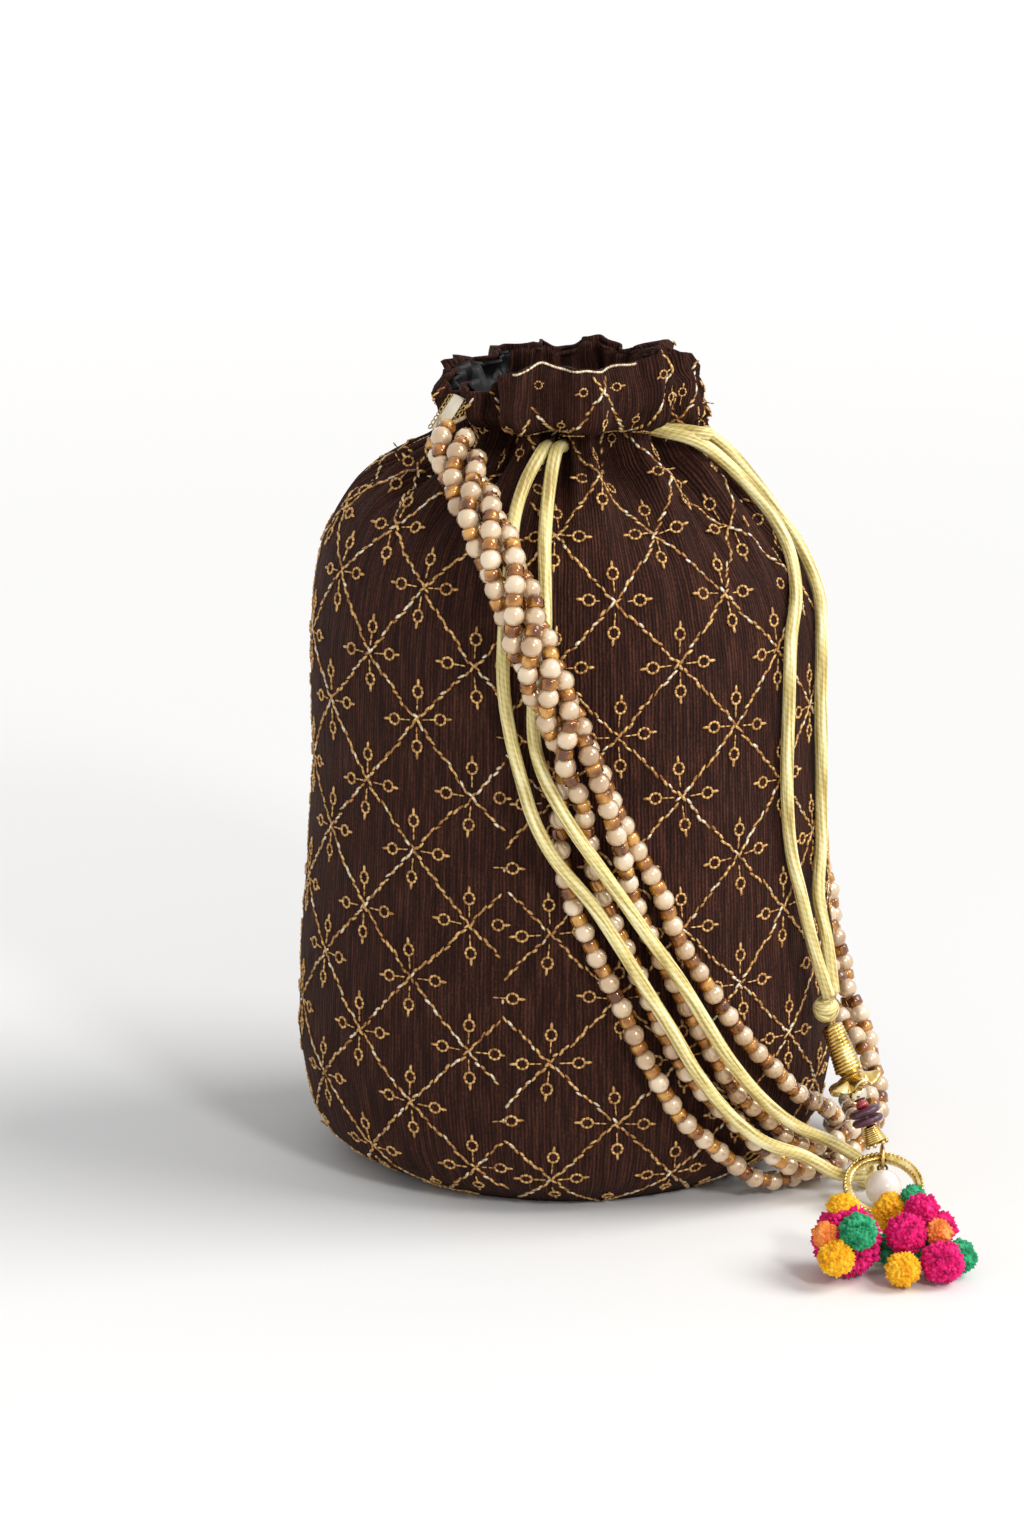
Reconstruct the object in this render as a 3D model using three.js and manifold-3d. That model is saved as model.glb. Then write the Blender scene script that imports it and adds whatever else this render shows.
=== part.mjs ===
// A gathered drawstring pouch with a bead handle and a brass tassel, in millimetres, +Z up.
// The origin is the centre of the flat base, on the surface that the pouch stands on.
// Angles around the pouch are in degrees from its front (-Y), positive towards the right (+X).
import * as THREE from "three";
import { mergeVertices } from "three/addons/utils/BufferGeometryUtils.js";
import Module from "manifold-3d";

const wasm = await Module();
wasm.setup();

// Cloth and running gap
const clearance = 0.3;
const clothWall = 1.2;
const liningWall = 0.8;
const liningRoom = 0.8;
const hemInset = 1.5;

// Outline of the body: height, then its reach to the left, right, front and back
const bodyOutline = [
  [0, 46, 47, 40, 40],
  [3, 54, 54, 46, 46],
  [8, 61.4, 61.5, 51.5, 51.5],
  [16, 65.2, 65.6, 54.6, 54.6],
  [31, 67.9, 68.2, 57, 57],
  [47, 67.1, 68.1, 57, 57],
  [67, 65.9, 66.3, 56.3, 56.3],
  [102, 63.6, 64.2, 55, 55],
  [137, 63.6, 63.2, 53.5, 53.5],
  [146, 62.7, 61, 52.5, 52.5],
  [153, 61.7, 57.8, 51, 51],
  [160, 59.9, 53, 48.5, 48.5],
  [166, 56.7, 49, 45, 45],
  [172, 52.3, 45, 41, 41],
  [177, 46.6, 41.5, 37, 37],
  [181, 39.9, 39, 33, 33],
  [184.5, 32, 34, 27, 27],
  [189, 31, 33, 26, 26],
];
const heights = bodyOutline.map((row) => row[0]);
const neckFoot = heights[heights.length - 2];
const neckTop = heights[heights.length - 1];

// Rows that the inner face and the lining need: the smooth body takes fewer
const innerHeights = [0, 3, 8, 31, 102, 146, 166, 172, 177, 181, neckFoot, neckTop];
const liningHeights = [0, 3, 8, 31, 102, 146, 166, 172, 177, neckFoot, neckTop];

// Gathers: count, depth at the drawn neck and at the rim, and where they fade on each side
const gatherCount = 14;
const gatherDepth = 6.5;
const rimGatherDepth = 2.6;
const gatherPitch = 360 / gatherCount;
const gatherPhase = gatherPitch / 4;
const gatherEndRight = 147;
const gatherEndLeft = 168;
const shellColumns = 4 * gatherCount;
const liningColumns = 2 * gatherCount;

// Ruffle above the neck: angle, height of the rim, how far the rim leans out, how far the cloth bulges
const ruffle = [
  [0, 205.5, 7.5, 8.5],
  [20, 206, 7, 8],
  [38, 209, 3, 6],
  [62, 206, -1, 3],
  [90, 200.5, -4, 2],
  [120, 203.5, -2.5, 2],
  [150, 203.5, 0, 2.5],
  [170, 204.5, 1, 2],
  [184, 201.5, 0, 2],
  [200, 204.5, 1, 2],
  [225, 202.5, -0.5, 2],
  [255, 200.5, -0.5, 2],
  [275, 199.5, 1, 1],
  [300, 198, 3, 2],
  [318, 197.5, 5, 4],
  [338, 203.5, 7, 7.5],
  [360, 205.5, 7.5, 8.5],
];
const ruffleSteps = [0.13, 0.4, 0.7, 1];

// Channel round the neck for two drawstrings, one above the other
const cordDiameter = 3.2;
const channelRoom = cordDiameter + 2 * clearance;
const liningNeckGather = 4;
const liningSlack = 0.35;

// Bead strands: pearls and glass tubes on thread, in a loose four-strand twist
const pearlDiameter = 5.2;
const tubeDiameter = 2.6;
const beadPitch = 7;
const beadSides = 5;
const bundleRadius = 4.2;
const bundleTurns = 2.2;
const returnTurns = 2.6;
const strandTurnFront = 0.825;
const strandTurnReturn = 0.625;

// Ribbon tabs of the handle
const laceWidth = 8.3;
const satinWidth = 3.6;
const ribbonWall = 0.5;

// Tassel: where the hoop hangs, the knot above it, and the stack's places along the thread between
const hoopHinge = [77.4, -39.3, 10.6];
const rightKnot = [63.5, -29.6, 46.1];
const knotRadius = 3.3;
const threadRadius = 0.45;
const boreRadius = 0.9;
const sleeveFoot = 22.5;
const sleeveTop = 35.2;
const sleeveFootRadius = 3.5;
const sleeveTopRadius = 2.7;
const sleeveCoils = 12;
const coilDepth = 0.45;
const bellTop = 22.2;
const bellFoot = 18.8;
const bellReach = 7.4;
const petalCount = 5;
const ballCentre = 17.1;
const ballRadius = 2.35;
const seedBeadHeight = 14;
const seedBeadRadius = 1.6;
const discRadius = 4;
const discThickness = 1.9;
const upperDisc = 12.3;
const lowerDisc = 10;
const coneTop = 8.7;
const coneFoot = 3.9;
const coneTopRadius = 1.7;
const coneFootRadius = 3;
const coneRibs = 6;
const ribDepth = 0.35;
const bailRadius = 3;
const bailWire = 0.45;
const bailSeatRadius = 1.5;

// Hoop with the pearl that hangs in it
const hoopOuter = 10.3;
const hoopWidth = 2.8;
const hoopInner = hoopOuter - hoopWidth;
const hoopThickness = 3;
const hoopLean = 30;
const roomBesidePearl = 3;
const roomUnderPin = 2.3;
const dropPearlRadius = hoopInner - roomBesidePearl;
const pinRadius = 0.3;
const pinEyeRadius = 1.1;
const pinEyeSlack = 0.1;
const hoopMiddle = (hoopOuter + hoopInner) / 2;
const pinFoot = hoopMiddle + hoopInner - roomUnderPin;
const dropPearlPlace = pinFoot - pinRadius - dropPearlRadius;
const pompomThreadRadius = 0.45;

// Knot that ends the front drawstring, behind the hoop
const frontKnot = [74.6, -31.6, 3.4];

// Slots in the neck, where each drawstring leaves its channel
const slotWidth = 9.8;
const slotHeight = 4.6;
const slotReach = 2 * gatherDepth + 5;
const frontSlotAngle = gatherPhase - gatherPitch / 2;
const rightSlotAngle = gatherPhase + 1.5 * gatherPitch;
const frontCordHeight = 185.2;
const rightCordHeight = frontCordHeight + cordDiameter + clearance;

const materials = {
  cloth: material(0x33201a, 0.85, 0),
  lining: material(0x0c0b0c, 0.35, 0),
  cord: material(0xe6d584, 0.45, 0),
  pearl: material(0xe3d0b6, 0.3, 0.1),
  ribbon: material(0xe8dcc4, 0.5, 0),
  lace: material(0xb49a52, 0.45, 0.6),
  brass: material(0xc9ad62, 0.3, 1),
  maroon: material(0x46202f, 0.4, 0),
  red: material(0xa32438, 0.3, 0),
  magenta: material(0xdc0a6e, 0.95, 0),
  yellow: material(0xf0b414, 0.95, 0),
  green: material(0x2b9a66, 0.95, 0),
  orange: material(0xee8a4e, 0.95, 0),
};

function material(color, roughness, metalness) {
  return new THREE.MeshStandardMaterial({ color, roughness, metalness });
}

const part = new THREE.Group();

function add(name, geometry, finish) {
  const mesh = new THREE.Mesh(geometry, finish);
  mesh.name = name;
  part.add(mesh);
}

const radians = THREE.MathUtils.degToRad;
const vector = (x, y, z) => new THREE.Vector3(x, y, z);

// Solids for joining and cutting

function solid(geometry) {
  const bare = geometry.index ? geometry.clone() : mergeVertices(geometry);
  bare.deleteAttribute("normal");
  bare.deleteAttribute("uv");
  const merged = mergeVertices(bare, 1e-4);
  return new wasm.Manifold(
    new wasm.Mesh({
      numProp: 3,
      vertProperties: merged.attributes.position.array,
      triVerts: new Uint32Array(merged.index.array),
    }),
  );
}

function geometryOf(body) {
  const mesh = body.getMesh();
  const geometry = new THREE.BufferGeometry();
  geometry.setAttribute("position", new THREE.BufferAttribute(mesh.vertProperties, 3));
  geometry.setIndex(new THREE.BufferAttribute(mesh.triVerts, 1));
  geometry.computeVertexNormals();
  return geometry;
}

// Cloth surface

function between(table, at, column) {
  let i = 1;
  while (i < table.length - 1 && table[i][0] < at) i += 1;
  const [low, high] = [table[i - 1], table[i]];
  const share = (at - low[0]) / (high[0] - low[0]);
  return THREE.MathUtils.lerp(low[column], high[column], share);
}

function clothPoint(angle, height) {
  const sine = Math.sin(radians(angle));
  const cosine = Math.cos(radians(angle));
  const across = between(bodyOutline, height, sine < 0 ? 1 : 2);
  const deep = between(bodyOutline, height, cosine > 0 ? 3 : 4);
  return vector(across * sine, -deep * cosine, height);
}

// A point that stands off the cloth, square to it
function offCloth([angle, height, lift]) {
  const around = clothPoint(angle + 1, height).sub(clothPoint(angle - 1, height));
  const up = clothPoint(angle, height + 1.5).sub(clothPoint(angle, height - 1.5));
  const outward = around.cross(up).normalize();
  return clothPoint(angle, height).addScaledVector(outward, lift);
}

function rimAt(angle, column) {
  const turn = ((angle % 360) + 360) % 360;
  const i = ruffle.findIndex((row) => row[0] > turn);
  const [low, high] = [ruffle[i - 1], ruffle[i]];
  const share = (turn - low[0]) / (high[0] - low[0]);
  const eased = THREE.MathUtils.smoothstep(share, 0, 1);
  return THREE.MathUtils.lerp(low[column], high[column], eased);
}

function gatherAt(angle, height) {
  const toLeft = (1 - Math.sin(radians(angle))) / 2;
  const end = THREE.MathUtils.lerp(gatherEndRight, gatherEndLeft, toLeft);
  return gatherDepth * THREE.MathUtils.smoothstep(height, end, neckFoot) ** 1.2;
}

// The cloth's line up the bag at one angle: distance from the axis, height and depth of the gathers
function meridian(angle, rows) {
  const line = rows.map((height) => {
    const point = clothPoint(angle, height);
    return { out: Math.hypot(point.x, point.y), height, gather: gatherAt(angle, height) };
  });
  const neck = line[line.length - 1];
  for (const step of ruffleSteps) {
    const lean = rimAt(angle, 2) * step;
    const bulge = rimAt(angle, 3) * Math.sin(Math.PI * step ** 0.6);
    line.push({
      out: neck.out + lean + bulge,
      height: THREE.MathUtils.lerp(neckTop, rimAt(angle, 1), step ** 1.25),
      gather: THREE.MathUtils.lerp(gatherDepth, rimGatherDepth, step ** 0.4),
    });
  }
  return line;
}

// The same line moved inwards by the wall, square to the cloth, and by the folded-in gathers,
// which go square to the cloth on the shoulder and level from the neck up
function inset(line, amount, fold, rimDrop = 0) {
  return line.map((point, i) => {
    const before = line[Math.max(i - 1, 0)];
    const after = line[Math.min(i + 1, line.length - 1)];
    const run = Math.hypot(after.out - before.out, after.height - before.height);
    const outward = (after.height - before.height) / run;
    const upward = -(after.out - before.out) / run;
    const folded = point.gather * fold;
    const level = point.height >= neckFoot;
    const drop = i === line.length - 1 ? rimDrop : 0;
    return {
      out: point.out - outward * amount - (level ? folded : outward * folded),
      height: point.height - upward * amount - (level ? 0 : upward * folded) - drop,
    };
  });
}

function foldAt(angle) {
  return 0.5 - 0.5 * Math.cos(radians(gatherCount * (angle - gatherPhase)));
}

// A closed cloth wall: a turned profile whose columns are moved to the cloth's own lines
function gatheredWall(columns, start, profileAt) {
  const rows = profileAt(0).length;
  const profile = [];
  for (let row = 0; row < rows; row += 1) {
    const onAxis = row === 0 || row === rows - 1;
    profile.push(new THREE.Vector2(onAxis ? 0 : 1, row));
  }
  const wall = new THREE.LatheGeometry(profile, columns);
  const position = wall.attributes.position;
  for (let column = 0; column <= columns; column += 1) {
    const angle = start + (360 * (column % columns)) / columns;
    const line = profileAt(angle);
    for (let row = 0; row < rows; row += 1) {
      const { out, height } = line[row];
      const toward = clothPoint(angle, neckFoot).setZ(0).normalize();
      position.setXYZ(column * rows + row, out * toward.x, out * toward.y, height);
    }
  }
  return wall;
}

function shellProfile(angle) {
  const fold = foldAt(angle);
  const outer = inset(meridian(angle, heights), 0, fold);
  const inner = inset(meridian(angle, innerHeights), clothWall, fold);
  outer[0].height = 0;
  inner[0].height = clothWall;
  return [
    { out: 0, height: 0 },
    ...outer,
    ...inner.reverse(),
    { out: 0, height: clothWall },
  ];
}

// The lining follows the cloth, and turns in under the drawstrings at the neck
function liningLine(angle, depth) {
  const line = meridian(angle, liningHeights);
  const fold = liningSlack + (1 - liningSlack) * foldAt(angle);
  const followed = inset(line, depth, fold, hemInset);
  const neckInset = gatherDepth + clothWall + channelRoom;
  const lastRow = liningHeights.length - 1;
  for (const row of [lastRow - 1, lastRow]) {
    const drawn = neckInset + liningNeckGather * fold + depth - clothWall;
    followed[row].out = line[row].out - drawn;
    followed[row].height = line[row].height + (row === lastRow ? 3 : -6);
  }
  return followed;
}

function liningProfile(angle) {
  const outerDepth = clothWall + liningRoom;
  const outer = liningLine(angle, outerDepth);
  const inner = liningLine(angle, outerDepth + liningWall);
  outer[0].height = outerDepth;
  inner[0].height = outerDepth + liningWall;
  return [
    { out: 0, height: outer[0].height },
    ...outer,
    ...inner.reverse(),
    { out: 0, height: inner[inner.length - 1].height },
  ];
}

const cordRadius = cordDiameter / 2;
const pearlRadius = pearlDiameter / 2;
const onCloth = cordRadius + clearance;
const beadOnCloth = pearlRadius + clearance;
const slotPairing = cordRadius + clearance / 2;
const loopGap = 22;
const cordStep = 3 * cordDiameter;
const overBeads = pearlDiameter + cordRadius + 3 * clearance;
const overCords = cordDiameter + bundleRadius + pearlRadius + 2 * clearance;
const bundleOnCloth = bundleRadius + pearlRadius + clearance;

const shellCut = solid(gatheredWall(shellColumns, 0, shellProfile));
add("lining", gatheredWall(liningColumns, gatherPhase, liningProfile), materials.lining);

// A box through the neck wall at one angle
function slotAt(angle, height) {
  const slot = new THREE.BoxGeometry(slotWidth, slotReach, slotHeight);
  const place = clothPoint(angle, neckTop).setZ(0);
  const reach = place.length() - gatherDepth - clothWall / 2;
  slot.rotateZ(Math.atan2(place.x, -place.y));
  slot.translate((reach * place.x) / place.length(), (reach * place.y) / place.length(), height);
  return solid(slot);
}

const slotted = shellCut
  .subtract(slotAt(frontSlotAngle, frontCordHeight))
  .subtract(slotAt(rightSlotAngle, rightCordHeight));
add("bag_shell", geometryOf(slotted), materials.cloth);

// Cords

function round(radius, sides) {
  const section = new THREE.Shape();
  for (let i = 0; i < sides; i += 1) {
    const turn = (2 * Math.PI * i) / sides;
    const [x, y] = [radius * Math.cos(turn), radius * Math.sin(turn)];
    if (i === 0) section.moveTo(x, y);
    else section.lineTo(x, y);
  }
  section.closePath();
  return section;
}

function tubeAlong(points, radius, step, sides = 8) {
  const path = new THREE.CatmullRomCurve3(points, false, "centripetal");
  path.arcLengthDivisions = 400;
  const steps = Math.round(path.getLength() / step);
  return new THREE.ExtrudeGeometry(round(radius, sides), { steps, extrudePath: path });
}

// The closed stretch of a drawstring in its channel, from one side of its slot round to the other
function channelLoop(slotAngle, height) {
  const points = [];
  const stops = 18;
  for (let i = 0; i <= stops; i += 1) {
    const angle = slotAngle + loopGap + ((360 - 2 * loopGap) * i) / stops;
    const place = clothPoint(angle, neckTop).setZ(0);
    const out = place.length() - gatherDepth - clothWall - 2 * clearance - cordRadius;
    points.push(place.setLength(out).setZ(height));
  }
  return points;
}

// The place where a run leaves through the slot, on one side of the slot's middle
function slotExit(slotAngle, height, side) {
  const place = clothPoint(slotAngle, neckTop).setZ(0);
  const outward = place.clone().normalize();
  const across = vector(-outward.y, outward.x, 0).multiplyScalar(side * slotPairing);
  return place.addScaledVector(outward, 1 - gatherDepth).add(across).setZ(height);
}

function pointOf(place) {
  return vector(place[0], place[1], place[2]);
}

// The end of a cord, at the surface of its knot, pushed apart from the other end
function toKnot(knot, from, side) {
  const centre = pointOf(knot);
  const way = pointOf(from).sub(centre);
  const across = way.clone().cross(vector(0, 0, 1)).setLength(side * (cordRadius + clearance));
  return centre.add(way.setLength(knotRadius + 3 * clearance)).add(across);
}

// Routes, points chosen by hand: angle, height and lift off the cloth, then places beyond it
const frontRunLeft = [
  [-10, 182, 4.2],
  [-13, 177.5, 2.6],
  [-14, 171, onCloth],
  [-13.5, 160, onCloth],
  [-14, 148, onCloth],
  [-14, 134, onCloth],
  [-12.5, 122, onCloth],
  [-10, 112, 3.5],
  [-7, 103, overBeads],
  [-3, 94, overBeads],
  [4, 83, overBeads],
  [9.5, 72, overBeads],
  [14.5, 61, overBeads],
  [19.5, 50, overBeads],
  [24, 40, overBeads],
  [30.5, 30, overBeads],
  [39.5, 20.5, 9],
];
const frontRunRight = [
  [-5, 182, 4.2],
  [-6, 176, onCloth],
  [-6, 166, onCloth],
  [-5.5, 156, onCloth],
  [-5.5, 145, onCloth],
  [-7.5, 133, onCloth],
  [-7.5, 121, onCloth],
  [-5.5, 114, 5.2],
  [-2.5, 107.5, 8.8],
  [1, 100.5, 9.8],
  [4.5, 94, 9.6],
  [9, 85.5, 8.8],
  [14.5, 75, overBeads],
  [20.5, 64, overBeads],
  [26, 52, overBeads],
  [31.5, 41, overBeads],
  [38.5, 31, overBeads],
  [49, 21.5, overBeads],
];
const frontLeftBeyond = [[58, -45, 13.2], [66.4, -40, 6.8]];
const frontRightBeyond = [[65.3, -34, 13], [71, -31, 8.4]];
const rightRunLeft = [
  [50, 185.5, 3.6],
  [58, 182, 2.6],
  [66, 178, onCloth],
  [72, 171.5, onCloth],
  [75, 165, onCloth],
  [72, 158, onCloth],
  [63, 149, onCloth],
  [56, 140, onCloth],
  [54, 125, onCloth],
  [53, 102, onCloth],
  [54, 87, onCloth],
  [56, 77, 2.6],
  [57.5, 63, 4.6],
];
const rightRunRight = [
  [56.5, 185.8, 6.2],
  [65, 185.5, 3.4],
  [73, 180.5, onCloth],
  [79.5, 173.5, onCloth],
  [83, 166, onCloth],
  [83, 156, onCloth],
  [77, 146, onCloth],
  [71, 135, onCloth],
  [70, 121, onCloth],
  [70, 103, onCloth],
  [68, 85, onCloth],
  [64, 74, 2.6],
  [62.5, 63, 5.2],
];

// One cord: from its knot up one run, round the neck in the channel, and down the other run
function drawstring(slotAngle, height, knot, leftRun, rightRun) {
  const last = (run) => run[run.length - 1].toArray();
  return [
    toKnot(knot, last(leftRun), -1),
    ...leftRun.toReversed(),
    slotExit(slotAngle, height, -1),
    ...channelLoop(slotAngle, height).toReversed(),
    slotExit(slotAngle, height, 1),
    ...rightRun,
    toKnot(knot, last(rightRun), 1),
  ];
}

const frontCord = drawstring(
  frontSlotAngle,
  frontCordHeight,
  frontKnot,
  [...frontRunLeft.map(offCloth), ...frontLeftBeyond.map(pointOf)],
  [...frontRunRight.map(offCloth), ...frontRightBeyond.map(pointOf)],
);
const rightCord = drawstring(
  rightSlotAngle,
  rightCordHeight,
  rightKnot,
  rightRunLeft.map(offCloth),
  rightRunRight.map(offCloth),
);
add("drawstring_front", tubeAlong(frontCord, cordRadius, cordStep), materials.cord);
add("drawstring_right", tubeAlong(rightCord, cordRadius, cordStep), materials.cord);

function lump(centre, radius, detail) {
  const ball = new THREE.IcosahedronGeometry(radius, detail);
  ball.translate(centre[0], centre[1], centre[2]);
  return ball;
}

add("knot_front", lump(frontKnot, knotRadius, 1), materials.cord);
add("knot_right", lump(rightKnot, knotRadius, 1), materials.cord);

// Strands of the handle

// A turned string of pearls and tubes, bent along a curve
function beadString(points) {
  const path = new THREE.CatmullRomCurve3(points, false, "centripetal");
  path.arcLengthDivisions = 800;
  const beads = Math.floor(path.getLength() / beadPitch);
  const profile = [new THREE.Vector2(0, 0)];
  for (let i = 0; i <= beads; i += 1) {
    profile.push(new THREE.Vector2(tubeDiameter / 2, 2 * i));
    if (i < beads) profile.push(new THREE.Vector2(pearlRadius, 2 * i + 1));
  }
  profile.push(new THREE.Vector2(0, 2 * beads));
  const string = new THREE.LatheGeometry(profile, beadSides);
  const frames = path.computeFrenetFrames(2 * beads, false);
  const position = string.attributes.position;
  for (let i = 0; i < position.count; i += 1) {
    const station = Math.round(position.getY(i));
    const centre = path.getPointAt(station / (2 * beads));
    centre.addScaledVector(frames.normals[station], position.getX(i));
    centre.addScaledVector(frames.binormals[station], -position.getZ(i));
    position.setXYZ(i, centre.x, centre.y, centre.z);
  }
  return string;
}

// Middle line of the four strands where they hang together, from the left tab down the front
const frontBundle = [
  [-46, 182.9, 8.2],
  [-39, 180.5, 8],
  [-31, 177.5, 8],
  [-24, 172.5, 9],
  [-19, 167, overCords],
  [-14, 160, overCords],
  [-10, 152, overCords],
  [-7.5, 144.5, overCords],
  [-5, 137, bundleOnCloth + 3],
  [-2, 128, bundleOnCloth + 0.6],
  [1, 119, bundleOnCloth],
].map(offCloth);

// And from the table beside the hoop up the right side to the right tab
const returnOnTable = [
  [69.5, -17, 8.2],
  [73.5, -10, 8],
  [76, -2, 9.5],
  [76.3, 6, 14],
  [74.8, 13, 21],
  [71.5, 21, 30],
  [68.8, 26.5, 38],
  [67.2, 30, 47],
];
const returnOnBag = [
  [120, 61, bundleOnCloth],
  [129, 78, bundleOnCloth],
  [137, 97, bundleOnCloth],
  [142, 117, bundleOnCloth],
  [145, 136, bundleOnCloth],
  [146, 149, bundleOnCloth],
  [146, 159, bundleOnCloth],
  [145, 168, bundleOnCloth],
  [142, 175.5, 7.4],
  [137, 182, 7.4],
];
const returnBundle = [...returnOnTable.map(pointOf), ...returnOnBag.map(offCloth)];

// One strand's points beside the middle line, turning round it
function besideBundle(middle, startTurn, turns) {
  return middle.map((point, i) => {
    const before = middle[Math.max(i - 1, 0)];
    const after = middle[Math.min(i + 1, middle.length - 1)];
    const along = after.clone().sub(before).normalize();
    const outward = vector(point.x, point.y, 0).normalize();
    const across = along.clone().cross(outward).normalize();
    outward.crossVectors(across, along);
    const turn = 2 * Math.PI * (startTurn + (turns * i) / (middle.length - 1));
    return point
      .clone()
      .addScaledVector(across, bundleRadius * Math.cos(turn))
      .addScaledVector(outward, bundleRadius * Math.sin(turn));
  });
}

// Where each strand lies alone, on the lower front and on the table
const strandRoutes = [
  {
    onFront: [
      [8, 108, 3.4],
      [13.4, 95, beadOnCloth],
      [18.8, 83, beadOnCloth],
      [22, 72.5, beadOnCloth],
      [27, 62.5, beadOnCloth],
      [32, 53, beadOnCloth],
      [38, 43.5, beadOnCloth],
      [45.5, 34.5, beadOnCloth],
      [54, 26.5, beadOnCloth],
    ],
    onTable: [[62, -29, 21.5], [66.8, -22, 15.8]],
  },
  {
    onFront: [
      [6.6, 108, 9.2],
      [9.8, 95, 7.4],
      [12.7, 83, beadOnCloth],
      [17, 71, beadOnCloth],
      [21.5, 60.5, beadOnCloth],
      [25.5, 50.5, beadOnCloth],
      [30, 41, beadOnCloth],
      [35, 31.5, beadOnCloth],
      [43, 24, beadOnCloth],
    ],
    onTable: [[54.5, -37.5, 15.2], [62.5, -29.5, 10.2]],
  },
  {
    onFront: [
      [2, 108, 7.6],
      [4, 95, 4],
      [6.7, 83, beadOnCloth],
      [11, 71, beadOnCloth],
      [15, 60, beadOnCloth],
      [18.5, 50, beadOnCloth],
      [22.5, 40.5, beadOnCloth],
      [28.5, 31.5, beadOnCloth],
      [35.5, 24, beadOnCloth],
    ],
    onTable: [[46.4, -46.4, 17], [54, -40.5, 9.4], [61.5, -33.4, 5.2]],
  },
  {
    onFront: [
      [-2, 108, beadOnCloth],
      [-2, 96, beadOnCloth],
      [0.2, 83, beadOnCloth],
      [4, 72, beadOnCloth],
      [7.5, 63, beadOnCloth],
      [11, 54, beadOnCloth],
      [14, 45, beadOnCloth],
      [18, 36, beadOnCloth],
      [23, 27, beadOnCloth],
      [29.5, 19.5, beadOnCloth],
      [36.5, 13.5, beadOnCloth],
    ],
    onTable: [[45.5, -41.5, 6.6], [52, -35.8, 3.6], [60, -28, 3.2]],
  },
];
strandRoutes.forEach(({ onFront, onTable }, strand) => {
  const points = [
    ...besideBundle(frontBundle, strandTurnFront - strand / 4, -bundleTurns),
    ...onFront.map(offCloth),
    ...onTable.map(pointOf),
    ...besideBundle(returnBundle, strandTurnReturn - strand / 4, returnTurns),
  ];
  add("bead_strand_" + (strand + 1), beadString(points), materials.pearl);
});

// Ribbon tabs that hold the strands at the neck: a satin strip laid on a wider gold lace one
function handleTab(side, root, tip) {
  const along = tip.clone().sub(root);
  const outward = vector(root.x, root.y, 0).normalize();
  const across = outward.clone().cross(along).normalize();
  const up = along.clone().cross(across).normalize();
  const turn = new THREE.Matrix4().makeBasis(along.clone().normalize(), across, up);
  const strip = (name, width, lift, finish) => {
    const ribbon = new THREE.BoxGeometry(along.length(), width, ribbonWall);
    ribbon.translate(along.length() / 2, 0, lift);
    ribbon.applyMatrix4(turn);
    ribbon.translate(root.x, root.y, root.z);
    add("handle_tab_" + side + name, ribbon, finish);
  };
  strip("_lace", laceWidth, 0, materials.lace);
  strip("", satinWidth, ribbonWall + clearance, materials.ribbon);
}

handleTab("left", offCloth([-57, 191, 3.7]), offCloth([-52.5, 186.6, 8.2]));
handleTab("right", offCloth([110.5, 191.5, 2.2]), offCloth([133, 185.5, 6.6]));

// Tassel, built upright with the hoop's hinge at the origin, then leaned along its thread

const threadWay = pointOf(rightKnot).sub(pointOf(hoopHinge));
const lean = new THREE.Quaternion().setFromUnitVectors(vector(0, 0, 1), threadWay.clone().normalize());

function onThread(geometry) {
  return geometry.applyQuaternion(lean).translate(...hoopHinge);
}

// A solid of revolution with a bore: the profile runs up its outside, in radius and height
function strung(profile, sides) {
  const bottom = profile[0][1];
  const top = profile[profile.length - 1][1];
  const closed = [[boreRadius, bottom], ...profile, [boreRadius, top], [boreRadius, bottom]];
  const points = closed.map(([radius, height]) => new THREE.Vector2(radius, height));
  return new THREE.LatheGeometry(points, sides).rotateX(Math.PI / 2);
}

const threadLength = threadWay.length() - knotRadius - clearance;
const thread = new THREE.CylinderGeometry(threadRadius, threadRadius, threadLength - coneFoot - 1, 6);
thread.rotateX(Math.PI / 2);
thread.translate(0, 0, (threadLength + coneFoot + 1) / 2);
add("tassel_thread", onThread(thread), materials.cord);

// Rings stacked one on the other, between two radii
function ribbed(foot, top, footRadius, topRadius, count, depth) {
  const profile = [];
  for (let i = 0; i <= 2 * count; i += 1) {
    const share = i / (2 * count);
    const radius = THREE.MathUtils.lerp(footRadius, topRadius, share) - (i % 2 === 0 ? depth : 0);
    profile.push([radius, THREE.MathUtils.lerp(foot, top, share)]);
  }
  return profile;
}

const sleeve = ribbed(
  sleeveFoot,
  sleeveTop,
  sleeveFootRadius,
  sleeveTopRadius,
  sleeveCoils,
  coilDepth,
);
add("coiled_sleeve", onThread(strung(sleeve, 8)), materials.brass);

// A turned cup whose foot is drawn out into petals
function petalBell() {
  const sides = 4 * petalCount;
  const profile = [
    [1.6, bellTop - 0.5],
    [bellReach * 0.45, bellTop - 1.5],
    [bellReach, bellFoot],
    [bellReach * 0.6, bellTop - 1.1],
    [2.4, bellTop],
  ];
  const bell = strung(profile, sides);
  const position = bell.attributes.position;
  for (let i = 0; i < position.count; i += 1) {
    const [x, y] = [position.getX(i), position.getY(i)];
    const radius = Math.hypot(x, y);
    const petal = Math.abs(Math.cos((petalCount * Math.atan2(y, x)) / 2));
    const reach = THREE.MathUtils.smoothstep(radius, 2.5, bellReach);
    const scale = 1 - 0.34 * reach * (1 - petal);
    position.setXY(i, x * scale, y * scale);
  }
  return bell;
}
add("petal_bell", onThread(petalBell()), materials.brass);

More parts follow.
